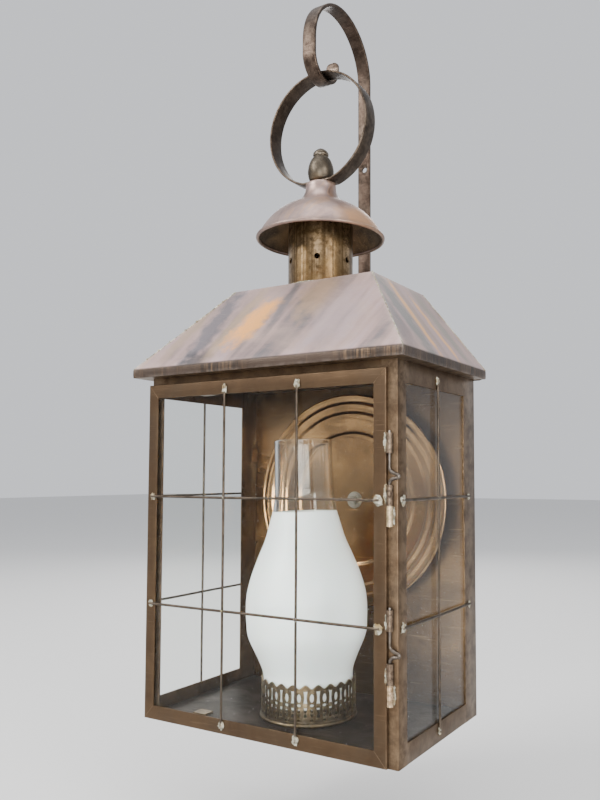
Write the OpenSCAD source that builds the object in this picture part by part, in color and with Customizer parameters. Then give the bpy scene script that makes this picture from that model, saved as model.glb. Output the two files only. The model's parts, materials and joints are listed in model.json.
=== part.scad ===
// Wall-hung copper and glass lantern: a glazed box with a hipped roof, a vented
// ogee cap and a ring, which hangs in the hook of a wall crook.
//
// Row frame: origin midway between the crook's two screw holes, on the face
// that lies against the wall. +Z is up and -Y faces the viewer.
// Most pieces are drawn in the lantern's own frame (front bottom centre of the
// box) and moved into the row frame by in_lantern().

/* [Body] */
// Width of the glazed box across the front
body_w = 230; // [192:1:300]
// Depth of the glazed box, front frame to back
body_d = 140; // [136:1:190]
// Height of the corner posts
body_h = 276.5; // [230:0.5:360]
// Width of the front posts' flanges
post_flange = 12.7; // [9:0.1:16]
// Depth of the rear posts' side flanges
rear_flange = 23.5; // [14:0.5:30]
// Thickness of the strip that posts and rails are folded from
strip_t = 1; // [0.8:0.1:1.5]
// Height of the side panels' bottom rails
side_rail_low = 14.4; // [8:0.1:20]
// Height of the side panels' top rails
side_rail_high = 15.7; // [8:0.1:20]
// Height of the strip above the door, behind its top rail
header_h = 14.5; // [10:0.1:20]
// Height of the strip below the door, behind its bottom rail
sill_h = 10; // [6:0.1:14]
// Height of the floor pan's underside above the posts' feet
floor_lift = 2.4; // [2:0.1:6]
// Thickness of the floor, back, roof and vent sheets
sheet_t = 0.8; // [0.6:0.1:1.2]

/* [Glass] */
// Thickness of the panes
pane_t = 1.8; // [1.5:0.1:3]
// Gap between a pane's edge and the metal round it
pane_gap = 1.5; // [0.5:0.1:3]
// Length of a glass clip along the pane
clip_w = 12; // [6:1:20]
// How far a glass clip laps the pane
clip_lap = 9; // [5:0.5:12]
// Thickness of a glass clip
clip_t = 0.5; // [0.4:0.1:0.8]

/* [Guard wires] */
// Diameter of the guard wires
wire_d = 2; // [1.5:0.1:3]
// Distance of the wires' ends from the outer edge of the frame
wire_end_inset = 4.5; // [2:0.5:8]

/* [Roof] */
// Roof overhang in front of the box
eave_front = 12.2; // [6:0.1:20]
// Roof overhang at each side of the box
eave_side = 10.5; // [6:0.1:20]
// Height of the folded fascia band
fascia_h = 7.2; // [4:0.1:12]
// Vertical rise of the roof slopes
roof_rise = 71; // [50:1:110]
// Horizontal run of the front slope
front_run = 61; // [40:1:70]
// Horizontal run of each side slope
side_run = 57.7; // [40:0.1:65]
// Width of the eave plate's border that laps over the posts
eave_lap = 14; // [12:0.5:20]

/* [Vent] */
// Outer radius of the vent collar
collar_r = 27.6; // [22:0.1:34]
// Distance of the vent axis in front of the body's back
vent_back = 61; // [48:0.5:70]
// Height of the collar above the roof's flat
collar_h = 56; // [50:1:70]
// Depth of the collar below the roof's flat
collar_drop = 6; // [4:0.5:10]
// Number of holes round the collar
vent_count = 6; // [4:1:10]
// Radius of a collar vent hole
vent_hole_r = 2.4; // [1.5:0.1:4]
// Height of the collar vent holes above the roof's flat
vent_hole_lift = 21.8; // [12:0.1:34]
// Turn of the first vent hole from the front towards the right
vent_turn = 27; // [0:1:60]
// Outer radius of the cap at its rim
cap_r = 55.2; // [48:0.1:66]
// Height of the cap's rim above the roof's flat
cap_lift = 43.6; // [36:0.1:48]
// Outer radius of the cap's neck
neck_r = 13; // [10:0.1:16]
// Radius of the cap's rolled rim bead
rim_bead_r = 1.5; // [1:0.1:2.5]

/* [Ring and finial] */
// Mean radius of the carrying ring
ring_r = 48.7; // [42:0.1:60]
// Width of the ring's strap
ring_w = 15.4; // [10:0.1:17]
// Thickness of the ring's strap
ring_t = 1.8; // [1.5:0.1:3]
// Height of the finial nut
finial_h = 30; // [24:0.5:36]
// Largest radius of the finial nut
finial_r = 11.2; // [9:0.1:14]
// Radius of the threaded stud under the finial
stud_r = 2.4; // [2:0.1:3]

/* [Wall crook] */
// Width of the crook's strap
crook_w = 12.7; // [10:0.1:20]
// Thickness of the crook's strap
crook_t = 3; // [2.5:0.1:5]
// Gap between the lantern's back and the strap on the wall
back_gap = 13; // [12:0.5:30]
// Inner radius of the hook that carries the ring
hook_r = 17; // [16:0.1:22]
// Straight rise of the front arm between hook and arch
arm_rise = 12; // [6:0.5:40]
// Length of the hook's upturned tip
tip_rise = 5.5; // [4:0.5:16]
// Length of the strap below the arch
strap_l = 250; // [230:1:420]
// Distance between the two screw holes
screw_pitch = 150; // [80:1:170]
// Distance of the lower screw hole from the strap's end
screw_end = 18; // [10:1:30]
// Radius of the screw holes
screw_r = 2.5; // [2:0.1:3.5]

/* [Door] */
// Width of the post's face left bare at the hinge side of the door
door_reveal = 7.4; // [7.2:0.1:8]
// Gap between the door's top and the eave
door_head_gap = 6; // [4:0.1:12]
// Height of the door's lower edge above the posts' feet
door_foot_gap = 0.6; // [0.4:0.1:3]
// Face width of the door's stiles
stile_w = 9.8; // [8:0.1:16]
// Face height of the door's rails
rail_w = 11; // [8:0.1:16]
// Thickness of the door's strip
door_t = 0.8; // [0.6:0.1:1]
// Gap between the closed door and the posts
door_gap = 0.4; // [0.3:0.1:0.6]

/* [Hinges] */
// Outer radius of the hinge tubes
tube_r = 2.3; // [2:0.05:2.5]
// Radius of the hinge pins
pin_r = 1; // [0.9:0.05:1.3]
// Running clearance round the pins, on the radius
pin_clear = 0.06; // [0.03:0.01:0.1]
// Length of each hinge tube
tube_l = 14; // [10:0.5:18]
// Free length of pin between a door's two tubes
pin_span = 21.5; // [18:0.5:30]
// Height of the pin's thumb loop
loop_h = 10; // [8:0.5:12]
// Reach of the thumb loop beyond the hinge axis
loop_reach = 8; // [5:0.5:11]
// Gap between a lifted pin's thumb loop and the tube above it
pin_stop_gap = 0.2; // [0.1:0.1:1]
// How far a lifted pin's foot clears its post tube
pin_free = 0.1; // [0.1:0.1:2]
// Height of the lower hinge's post tube
hinge_low = 42; // [30:1:60]
// Distance between the two hinges
hinge_pitch = 119.4; // [90:0.1:160]

/* [Reflector] */
// Gap between the reflector's rim and the body's sides
reflector_margin = 20; // [16:0.5:40]
// Gap between the reflector's rim and the top of the posts
reflector_drop = 7.5; // [4:0.5:20]
// Depth of the reflector's dish
reflector_depth = 13; // [8:0.5:16]
// Height of the reflector's spun ridges
ridge_h = 1.2; // [0.5:0.1:2]
// Radius of the reflector's bolt
bolt_r = 2.5; // [2:0.1:3]

/* [Lamp] */
// Gap between the closed door and the chimney's widest part
lamp_front_gap = 14.5; // [10:0.5:30]
// Outer radius of the pierced gallery
gallery_r = 38.2; // [34:0.1:44]
// Height of the gallery above the floor
gallery_h = 33; // [26:0.5:40]
// Number of pierced slots round the gallery
gallery_count = 16; // [8:2:24]
// Largest radius of the glass chimney
chimney_r = 49.5; // [44:0.1:56]
// Height of the glass chimney
chimney_h = 209; // [180:1:230]
// Wall thickness of the glass chimney
chimney_t = 2; // [1.5:0.1:3]
// Gap between the chimney's foot and the gallery
chimney_gap = 0.6; // [0.3:0.1:1]
// Lean of the chimney in its gallery, in degrees
chimney_lean = 1.8; // [0:0.1:2]
// Radius of the lamp holder
socket_r = 11; // [10:0.1:14]
// Radius of the bulb's glass
bulb_r = 15.5; // [12:0.5:18]
// Bore radius of the cable bushing
bushing_r = 3; // [2.5:0.1:4]

/* [Hidden] */
$fn = 64;
cut = 1;            // overshoot of a cutter past the face that it leaves
fit = 0.05;         // gap between soldered or screwed pieces of one body
half_w = body_w / 2;
opening_half = half_w - post_flange;

// Roof, vent and ring heights, from the box upwards
eave_top = body_h + fascia_h;
roof_top = eave_top + roof_rise;
roof_half = half_w + eave_side - side_run;
vent_y = body_d - vent_back;
rim_z = roof_top + cap_lift;
cap_arc_r = 55;     // radius of the cap's lower, crowned stretch
flare_r = 17;       // radius of its upper, hollow stretch
join_angle = 22;    // slope of the cap where the two stretches meet
join_x = neck_r + flare_r * (1 - sin(join_angle));
cap_arc_x = join_x - cap_arc_r * sin(join_angle);
rim_angle = acos((cap_r - rim_bead_r - cap_arc_x) / cap_arc_r);
cap_arc_z = rim_z - cap_arc_r * sin(rim_angle);
flare_x = neck_r + flare_r;
flare_z = cap_arc_z + (cap_arc_r + flare_r) * cos(join_angle);
neck_h = 3;         // straight stretch above the flare
neck_top = flare_z + neck_h;
foot_half = neck_r + 1;
ring_out = ring_r + ring_t / 2;
ring_in = ring_r - ring_t / 2;
foot_drop = sqrt(ring_out * ring_out - foot_half * foot_half);
ring_z = neck_top + foot_drop;
finial_z = neck_top + ring_t;

// Wall crook: the ring's lower edges slide round the hook, so the hook's centre
// is the axis that the lantern swings on
hook_clear = 0.35;
edge_z = ring_z + sqrt(ring_in * ring_in - crook_w * crook_w / 4);
slide_r = hook_r - hook_clear;
swing_z = edge_z + sqrt(slide_r * slide_r - ring_w * ring_w / 4);
wall_y = body_d + back_gap + crook_t;
arm_y = vent_y - hook_r - crook_t / 2;
strap_y = wall_y - crook_t / 2;
arch_y = (arm_y + strap_y) / 2;
arch_r = (strap_y - arm_y) / 2;
arch_z = swing_z + arm_rise;
strap_end_z = arch_z - strap_l;
low_screw_z = strap_end_z + screw_end;
mount_z = low_screw_z + screw_pitch / 2;

// Door, in its closed place
door_left = -half_w;
door_right = half_w - door_reveal;
door_low = door_foot_gap;
door_high = body_h - door_head_gap;
door_back = -door_gap;
door_depth = door_t + pane_t + clip_t + 0.2;
door_face = door_back - door_depth;
sill_clear = 1;     // a catch's tongue clears the header or the sill by this
hinge_x = door_right + tube_r + 0.1;
hinge_y = -(tube_r + door_gap);
hinge_heights = [hinge_low, hinge_low + hinge_pitch];
door_tube_z = tube_l + 0.2;
upper_tube_z = door_tube_z + tube_l + pin_span;
bore_r = pin_r + pin_clear;
pin_lift = pin_span - loop_h - pin_r - pin_stop_gap;
pin_grip = pin_lift - pin_free;
catch_x = -half_w + 50;
tongue_w = 12;
tongue_l = 9;
leaf_gap = 0.5;

// Reflector and lamp
reflector_r = half_w - reflector_margin;
reflector_z = body_h - reflector_drop - reflector_r;
panel_front = body_d - strip_t - sheet_t;
floor_top = floor_lift + sheet_t;
lamp_y = lamp_front_gap + chimney_r;
gallery_t = 0.7;
gallery_in = gallery_r - gallery_t;
gallery_top = floor_top + gallery_h;
base_h = 5;         // height of the gallery's spun base
ledge_z = floor_top + 11;
chimney_foot_r = gallery_in - chimney_gap - (gallery_top - ledge_z) * tan(chimney_lean);
chimney_z = ledge_z + gallery_t + 0.1 + chimney_foot_r * sin(chimney_lean);
chimney_socket_h = gallery_top - chimney_z;   // how much of the chimney stands in the gallery
nipple_r = 4.8;
socket_z = floor_top + base_h;
socket_h = 40;
bulb_cap_r = 6.2;
bulb_seat_z = socket_z + socket_h - 20;
bushing_x = 25;
bushing_z = 79;

// Points along an arc about a centre
function arc(c, r, a0, a1, n) =
  [for (i = [0:n]) let (a = a0 + (a1 - a0) * i / n) c + r * [cos(a), sin(a)]];

// A smooth curve through the points p, k steps between each two of them
function pt(p, i) = p[max(0, min(len(p) - 1, i))];
function curve(p, k) = concat([for (i = [0:len(p) - 2]) for (j = [0:k - 1])
  let (t = j / k, a = pt(p, i - 1), b = p[i], c = p[i + 1], d = pt(p, i + 2))
  0.5 * (2 * b + (c - a) * t + (2 * a - 5 * b + 4 * c - d) * t * t
    + (3 * b - a - 3 * c + d) * t * t * t)], [p[len(p) - 1]]);

function reverse(p) = [for (i = [len(p) - 1:-1:0]) p[i]];

module in_lantern() translate([0, -wall_y, -mount_z]) children();

module brass() color([0.52, 0.38, 0.20]) children();
module copper() color([0.45, 0.32, 0.25]) children();
module clear_glass() color([0.75, 0.85, 0.85, 0.4]) children();

// A round bar from one point to another
module rod(a, b, r) {
  v = b - a;
  translate(a)
    rotate([0, acos(v[2] / norm(v)), atan2(v[1], v[0])])
      cylinder(r = r, h = norm(v));
}

// The mirror image to the left, or the piece itself on the right
module on_side(side) mirror([side < 0 ? 1 : 0, 0, 0]) children();

// ---------------------------------------------------------------- crook

module half_ring(r, t, upper) {
  difference() {
    circle(r = r + t / 2, $fn = 128);
    circle(r = r - t / 2, $fn = 128);
    translate([-2 * r, upper ? -2 * r : 0]) square([4 * r, 2 * r]);
  }
}

module crook_outline() {
  hook_mean = hook_r + crook_t / 2;
  translate([arch_y, arch_z]) half_ring(arch_r, crook_t, true);
  translate([strap_y - crook_t / 2, strap_end_z]) square([crook_t, strap_l]);
  translate([arm_y - crook_t / 2, swing_z]) square([crook_t, arm_rise]);
  translate([vent_y, swing_z]) half_ring(hook_mean, crook_t, false);
  translate([vent_y + hook_r, swing_z]) square([crook_t, tip_rise]);
  translate([vent_y + hook_mean, swing_z + tip_rise]) circle(d = crook_t, $fn = 32);
}

module wall_crook() in_lantern() copper() difference() {
  translate([-crook_w / 2, 0, 0]) rotate([90, 0, 90])
    linear_extrude(crook_w) crook_outline();
  for (z = [low_screw_z, low_screw_z + screw_pitch])
    translate([0, wall_y + cut, z]) rotate([90, 0, 0])
      cylinder(r = screw_r, h = crook_t + 2 * cut);
}

// ---------------------------------------------------------------- ring and finial

module ring_outline() {
  difference() {
    circle(r = ring_out, $fn = 160);
    circle(r = ring_in, $fn = 160);
    translate([-foot_half, -2 * ring_r]) square([2 * foot_half, 2 * ring_r]);
  }
  translate([-foot_half - ring_t, -foot_drop]) square([2 * (foot_half + ring_t), ring_t]);
}

module ring_handle() in_lantern() copper() difference() {
  translate([0, vent_y + ring_w / 2, ring_z]) rotate([90, 0, 0])
    linear_extrude(ring_w) ring_outline();
  translate([0, vent_y, neck_top - cut]) cylinder(r = stud_r + fit, h = ring_t + 2 * cut);
}

module finial_nut() in_lantern() brass() {
  h = finial_h;
  outline = curve([[0.62, 0], [0.86, 0.08], [1, 0.27], [0.93, 0.45], [0.74, 0.62],
    [0.6, 0.72]], 4);
  cap_outline = curve([[0.56, 0.78], [0.5, 0.86], [0.3, 0.95], [0.06, 1]], 3);
  body = [for (p = concat(outline, cap_outline)) [p[0] * finial_r, p[1] * h]];
  translate([0, vent_y, finial_z]) difference() {
    rotate_extrude() polygon(concat([[0, 0]], body, [[0, h]]));
    translate([0, 0, -cut]) cylinder(r = stud_r + fit, h = 0.65 * h + cut);
  }
}

module cap_stud() in_lantern() brass()
  translate([0, vent_y, spider_z - 8])
    cylinder(r = stud_r, h = finial_z + 0.6 * finial_h - spider_z + 8);

spider_z = rim_z - 8;
spider_t = 1.5;
nut_r = 4.6;
nut_h = 3;

// One nut under the spider and one on top of it, turned on the stud
module stud_nuts() in_lantern() brass()
  for (z = [spider_z - nut_h, spider_z + spider_t]) translate([0, vent_y, z])
    difference() {
      cylinder(r = nut_r, h = nut_h, $fn = 6);
      translate([0, 0, -cut]) cylinder(r = stud_r + fit, h = nut_h + 2 * cut);
    }

// A bar across the collar with its ends turned down against the wall
module cap_spider() in_lantern() brass() translate([0, vent_y, spider_z]) {
  bar_w = 9;
  reach = collar_r - sheet_t - fit;
  tab_h = 9;
  intersection() {
    difference() {
      translate([-reach, -bar_w / 2, 0]) cube([2 * reach, bar_w, spider_t]);
      translate([0, 0, -cut]) cylinder(r = stud_r + fit, h = spider_t + 2 * cut);
    }
    translate([0, 0, -cut]) cylinder(r = reach, h = spider_t + 2 * cut);
  }
  intersection() {
    difference() {
      translate([0, 0, -tab_h]) cylinder(r = reach, h = tab_h);
      translate([0, 0, -tab_h - cut]) cylinder(r = reach - spider_t, h = tab_h + 2 * cut);
    }
    translate([-2 * reach, -bar_w / 2, -2 * tab_h]) cube([4 * reach, bar_w, 4 * tab_h]);
  }
}

// ---------------------------------------------------------------- vent and roof

module vent_cap() in_lantern() copper() translate([0, vent_y, 0]) {
  low = [cap_arc_x, cap_arc_z];
  high = [flare_x, flare_z];
  turn = 90 - join_angle;
  outer = concat(arc(low, cap_arc_r, rim_angle, turn, 16),
    arc(high, flare_r, 180 + turn, 180, 12));
  inner = concat(arc(low, cap_arc_r - sheet_t, rim_angle, turn, 16),
    arc(high, flare_r + sheet_t, 180 + turn, 180, 12));
  bore = stud_r + fit;
  rotate_extrude($fn = 96) {
    polygon(concat(outer, [[neck_r, neck_top], [bore, neck_top], [bore, neck_top - sheet_t],
      [neck_r - sheet_t, neck_top - sheet_t]], reverse(inner)));
    translate([cap_r - rim_bead_r, rim_z]) circle(r = rim_bead_r, $fn = 24);
  }
}

module vent_collar() in_lantern() brass() translate([0, vent_y, roof_top - collar_drop])
  difference() {
    union() {
      cylinder(r = collar_r, h = collar_drop + collar_h, $fn = 96);
      translate([0, 0, collar_drop]) cylinder(r = collar_r + 2, h = sheet_t, $fn = 96);
    }
    translate([0, 0, -cut])
      cylinder(r = collar_r - sheet_t, h = collar_drop + collar_h + 2 * cut, $fn = 96);
    for (i = [0:vent_count - 1])
      rotate([0, 0, vent_turn + i * 360 / vent_count])
        translate([0, 0, collar_drop + vent_hole_lift])
        rotate([90, 0, 0]) cylinder(r = vent_hole_r, h = 2 * collar_r, $fn = 32);
  }

// The roof's solid shape, drawn in by d on every face
module roof_solid(d) {
  w0 = half_w + eave_side - d;
  w1 = roof_half - d;
  y0 = -eave_front + d;
  y1 = front_run - eave_front + d;
  yb = body_d - d;
  z1 = roof_top - d;
  points = [[-w0, y0, eave_top - d / 2], [w0, y0, eave_top - d / 2],
    [w0, yb, eave_top - d / 2], [-w0, yb, eave_top - d / 2],
    [-w1, y1, z1], [w1, y1, z1], [w1, yb, z1], [-w1, yb, z1]];
  faces = [[0, 1, 2, 3], [7, 6, 5, 4], [4, 5, 1, 0], [5, 6, 2, 1], [6, 7, 3, 2], [7, 4, 0, 3]];
  polyhedron(points, faces);
}

module roof_shell() in_lantern() copper() {
  difference() {
    roof_solid(0);
    roof_solid(sheet_t);
    translate([-half_w - eave_side + sheet_t, -eave_front + sheet_t, eave_top - cut])
      cube([body_w + 2 * (eave_side - sheet_t), body_d + eave_front - 2 * sheet_t,
        cut + sheet_t]);
    translate([0, vent_y, roof_top - collar_drop - 2 * sheet_t])
      cylinder(r = collar_r + fit, h = collar_drop + 4 * sheet_t, $fn = 96);
  }
  translate([0, 0, body_h]) linear_extrude(fascia_h) difference() {
    translate([-half_w - eave_side, -eave_front])
      square([body_w + 2 * eave_side, body_d + eave_front]);
    translate([-half_w - eave_side + sheet_t, -eave_front + sheet_t])
      square([body_w + 2 * (eave_side - sheet_t), body_d + eave_front - 2 * sheet_t]);
  }
}

// The soffit: joins the fascia to the posts and leaves the middle open for hot air
module eave_plate() in_lantern() copper() translate([0, 0, body_h])
  linear_extrude(sheet_t) difference() {
    inset = sheet_t + fit;
    translate([-half_w - eave_side + inset, -eave_front + inset])
      square([body_w + 2 * (eave_side - inset), body_d + eave_front - 2 * inset]);
    translate([-half_w + eave_lap, eave_lap])
      square([body_w - 2 * eave_lap, body_d - 2 * eave_lap]);
  }

// ---------------------------------------------------------------- box

module corner_post(side, front) in_lantern() copper() on_side(side) {
  depth = front ? post_flange : rear_flange;
  translate([half_w - post_flange, front ? 0 : body_d - strip_t, 0])
    cube([post_flange, strip_t, body_h]);
  translate([half_w - strip_t, front ? 0 : body_d - depth, 0])
    cube([strip_t, depth, body_h]);
}

module front_left_post() corner_post(-1, true);
module front_right_post() corner_post(1, true);
module rear_left_post() corner_post(-1, false);
module rear_right_post() corner_post(1, false);

module front_strip(z, h) in_lantern() copper() translate([-opening_half, 0, z])
  cube([2 * opening_half, strip_t, h]);

module front_header() front_strip(body_h - header_h, header_h);
module front_sill() front_strip(0, sill_h);

module side_strip(side, z, h) in_lantern() copper() on_side(side)
  translate([half_w - strip_t, post_flange, z])
    cube([strip_t, body_d - post_flange - rear_flange, h]);

module left_top_rail() side_strip(-1, body_h - side_rail_high, side_rail_high);
module right_top_rail() side_strip(1, body_h - side_rail_high, side_rail_high);
module left_bottom_rail() side_strip(-1, 0, side_rail_low);
module right_bottom_rail() side_strip(1, 0, side_rail_low);

module floor_pan() in_lantern() copper() difference() {
  translate([-half_w + strip_t, strip_t, floor_lift])
    cube([body_w - 2 * strip_t, panel_front - strip_t, sheet_t]);
  translate([0, lamp_y, floor_lift - cut]) cylinder(r = nipple_r + fit, h = sheet_t + 2 * cut);
}

module back_panel() in_lantern() copper() difference() {
  translate([-half_w + strip_t, panel_front, 0])
    cube([body_w - 2 * strip_t, sheet_t, body_h]);
  translate([0, panel_front - cut, reflector_z]) rotate([-90, 0, 0])
    cylinder(r = bolt_r + fit, h = sheet_t + 2 * cut);
  translate([bushing_x, panel_front - cut, bushing_z]) rotate([-90, 0, 0])
    cylinder(r = bushing_r + 2, h = sheet_t + 2 * cut);
}

// ---------------------------------------------------------------- reflector

// Depth of the spun dish at radius r, with three raised ridges
ridge_radii = [0.62, 0.81, 0.9];
function dish(r) = reflector_depth * pow(r / reflector_r, 2)
  + ridge_h * max([for (k = ridge_radii) exp(-pow((r - k * reflector_r) / 2.2, 2))]);

module facing_front(z) in_lantern() translate([0, panel_front, z]) rotate([90, 0, 0])
  children();

module reflector() facing_front(reflector_z) brass() {
  flat_r = 8;
  steps = 44;
  bead_r = 1.5;
  edge_r = reflector_r - 1.9 * bead_r;
  radii = [for (i = [0:steps]) flat_r + (edge_r - flat_r) * i / steps];
  front = [for (r = radii) [r, dish(r) + sheet_t]];
  back = [for (r = radii) [r, dish(r)]];
  bead = arc([reflector_r - bead_r, dish(edge_r) + sheet_t / 2], bead_r, 160, -160, 16);
  bore = bolt_r + fit;
  rotate_extrude($fn = 96)
    polygon(concat([[bore, 0], [bore, sheet_t], [flat_r - 0.3, sheet_t]], front, bead, reverse(back), [[flat_r, 0]]));
}

washer_t = 1;
module reflector_washers() facing_front(reflector_z) brass()
  translate([0, 0, sheet_t]) difference() {
    union() {
      cylinder(r = 7.5, h = washer_t);
      translate([0, 0, washer_t]) cylinder(r = 6, h = washer_t);
    }
    translate([0, 0, -cut]) cylinder(r = bolt_r + fit, h = 2 * washer_t + 2 * cut);
  }

module reflector_bolt() facing_front(reflector_z) color("gainsboro") {
  head_h = 2;
  translate([0, 0, -sheet_t - head_h]) cylinder(r = 1.8 * bolt_r, h = head_h);
  translate([0, 0, -sheet_t]) cylinder(r = bolt_r, h = 2 * sheet_t + 2 * washer_t + 3.6);
}

module reflector_nut() facing_front(reflector_z) color("gainsboro")
  translate([0, 0, sheet_t + 2 * washer_t]) difference() {
    cylinder(r = 4.4, h = 2.8, $fn = 6);
    translate([0, 0, -cut]) cylinder(r = bolt_r + fit, h = 3 + 2 * cut);
  }

// A rubber grommet in the back panel that the supply cable passes through
module cable_bushing() in_lantern() color("dimgray")
  translate([bushing_x, panel_front, bushing_z]) rotate([-90, 0, 0]) {
    lip = 1.2;
    rotate_extrude() polygon([[bushing_r, -lip], [bushing_r + 3.5, -lip],
      [bushing_r + 3.5, 0], [bushing_r + 2 - fit, 0], [bushing_r + 2 - fit, sheet_t],
      [bushing_r + 3.5, sheet_t], [bushing_r + 3.5, sheet_t + lip],
      [bushing_r, sheet_t + lip]]);
  }

// ---------------------------------------------------------------- side glass

pane_y0 = strip_t + pane_gap;
pane_y1 = panel_front - pane_gap;
pane_z0 = floor_top + pane_gap;
pane_z1 = body_h - pane_gap;

module side_glass(side) in_lantern() clear_glass() on_side(side)
  translate([half_w - strip_t - pane_t, pane_y0, pane_z0])
    cube([pane_t, pane_y1 - pane_y0, pane_z1 - pane_z0]);

module left_glass() side_glass(-1);
module right_glass() side_glass(1);

// Four bent tabs that hold a side pane against its posts
module side_glass_clips(side) in_lantern() copper() on_side(side)
  for (z = [0.22, 0.78]) for (y = [strip_t, panel_front - clip_lap])
    translate([half_w - strip_t - pane_t - clip_t, y, z * body_h - clip_w / 2])
      cube([clip_t, clip_lap, clip_w]);

module left_glass_clips() side_glass_clips(-1);
module right_glass_clips() side_glass_clips(1);

// Heights of the two level wires that cross a panel
wire_thirds = [0.335, 0.648];

module side_guard_wires(side) in_lantern() copper() on_side(side) {
  r = wire_d / 2;
  x = half_w + r;
  for (k = wire_thirds)
    rod([x, wire_end_inset, k * body_h], [x, body_d - 14, k * body_h], r);
  y = (post_flange + body_d - rear_flange) / 2;
  rod([x, y, side_rail_low / 2], [x, y, body_h - side_rail_high / 2], r);
}

module left_guard_wires() side_guard_wires(-1);
module right_guard_wires() side_guard_wires(1);

// ---------------------------------------------------------------- door

module door_rect(inset, depth) translate([door_left + inset, 0, door_low + inset])
  cube([door_right - door_left - 2 * inset, depth, door_high - door_low - 2 * inset]);

module door_frame() in_lantern() copper() translate([0, door_face, 0]) difference() {
  door_rect(0, door_depth);
  translate([0, door_t, 0]) door_rect(door_t, door_depth);
  translate([door_left + stile_w, -cut, door_low + rail_w])
    cube([door_right - door_left - 2 * stile_w, door_depth, door_high - door_low - 2 * rail_w]);
}

module door_glass() in_lantern() clear_glass() translate([0, door_face + door_t, 0])
  door_rect(door_t + 0.4, pane_t);

// Tabs behind the pane, tied to the door's folded edge
module door_glass_clips() in_lantern() copper() {
  y = door_face + door_t + pane_t;
  for (z = [0.2, 0.5, 0.8]) for (x = [door_left + door_t, door_right - door_t - clip_lap + 2])
    translate([x, y, z * body_h - clip_w / 2]) cube([clip_lap - 2, clip_t, clip_w]);
}

module door_guard_wires() in_lantern() copper() {
  r = wire_d / 2;
  y = door_face - r;
  for (k = wire_thirds)
    rod([door_left + wire_end_inset, y, k * body_h],
      [door_right - wire_end_inset, y, k * body_h], r);
  for (x = [-opening_half / 3, opening_half / 3])
    rod([x, y, door_low + rail_w / 2], [x, y, door_high - rail_w / 2], r);
}

// Tongues on the door's back, near its free edge, one by the header and one by the sill
tongue_t = 0.8;
tongue_high = body_h - header_h - sill_clear;
tongue_low = sill_h + sill_clear;
module tongue(z, up) {
  y = door_face + door_t + pane_t;
  translate([catch_x, y, up ? z - tongue_t : z]) cube([tongue_w, tongue_l - y, tongue_t]);
  translate([catch_x, y, up ? z - tongue_t : door_low + door_t])
    cube([tongue_w, clip_t, up ? door_high - door_t - z + tongue_t
      : z + tongue_t - door_low - door_t]);
}
module catch_tongues() in_lantern() brass() {
  tongue(tongue_high, true);
  tongue(tongue_low, false);
}

// Leaf springs on the backs of header and sill, bent along the closed tongues
module leaf(z_tongue, z_root, up) {
  leaf_t = 0.6;
  z_leaf = up ? z_tongue + leaf_gap : z_tongue - leaf_gap - leaf_t;
  translate([catch_x, strip_t, z_leaf]) cube([tongue_w, tongue_l - 1, leaf_t]);
  translate([catch_x, strip_t, up ? z_leaf : z_root])
    cube([tongue_w, leaf_t, abs(z_root - z_leaf) + (up ? 0 : leaf_t)]);
}
module spring_catches() in_lantern() brass() {
  leaf(tongue_high, tongue_high + 10, true);
  leaf(tongue_low, tongue_low - 6, false);
}

// ---------------------------------------------------------------- hinges

module tube() difference() {
  cylinder(r = tube_r, h = tube_l);
  translate([0, 0, -cut]) cylinder(r = bore_r, h = tube_l + 2 * cut);
}

// Two door tubes at height z above each hinge's foot, with their solder saddles
module door_tubes(z) in_lantern() copper() for (h = hinge_heights)
  translate([hinge_x, hinge_y, h + z]) {
    tube();
    difference() {
      translate([door_right - hinge_x, door_face - hinge_y, 0])
        cube([tube_r, door_back - door_face - 0.6, tube_l]);
      translate([0, 0, -cut]) cylinder(r = tube_r - 0.3, h = tube_l + 2 * cut);
    }
  }

module upper_door_knuckles() door_tubes(upper_tube_z);
module lower_door_knuckles() door_tubes(door_tube_z);

module post_knuckles() in_lantern() copper() for (h = hinge_heights)
  translate([hinge_x, hinge_y, h]) {
    tube();
    difference() {
      translate([-1.5, 0, 0]) cube([3, -hinge_y, tube_l]);
      translate([0, 0, -cut]) cylinder(r = tube_r - 0.3, h = tube_l + 2 * cut);
    }
  }

// A wire pin that drops through both door tubes into the post tube, with a
// V-shaped thumb loop to lift it by
module hinge_pin(h) in_lantern() color([0.30, 0.25, 0.20]) translate([hinge_x, hinge_y, h]) {
  loop_z = door_tube_z + tube_l + pin_r + 0.4;
  knees = [[0, 0, tube_l - pin_grip], [0, 0, loop_z], [loop_reach - pin_r, 0, loop_z + 0.55 * loop_h],
    [0, 0, loop_z + loop_h - pin_r], [0, 0, upper_tube_z + tube_l + 2]];
  over = 0.55 * pin_r;
  for (i = [0:len(knees) - 2]) {
    along = (knees[i + 1] - knees[i]) / norm(knees[i + 1] - knees[i]);
    rod(knees[i] - (i > 0 ? over : 0) * along,
      knees[i + 1] + (i < len(knees) - 2 ? over : 0) * along, pin_r);
  }
}

module lower_hinge_pin() hinge_pin(hinge_heights[0]);
module upper_hinge_pin() hinge_pin(hinge_heights[1]);

// ---------------------------------------------------------------- lamp

module at_lamp(z) in_lantern() translate([0, lamp_y, z]) children();

module lamp_nipple() at_lamp(0.4) brass() difference() {
  cylinder(r = nipple_r, h = socket_z + 6);
  translate([0, 0, -cut]) cylinder(r = nipple_r - 1.4, h = socket_z + 6 + 2 * cut);
}

module lamp_lock_nut() at_lamp(floor_lift - 1.8) brass() difference() {
  cylinder(r = 8, h = 1.8, $fn = 6);
  translate([0, 0, -cut]) cylinder(r = nipple_r + fit, h = 1.8 + 2 * cut);
}

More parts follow.
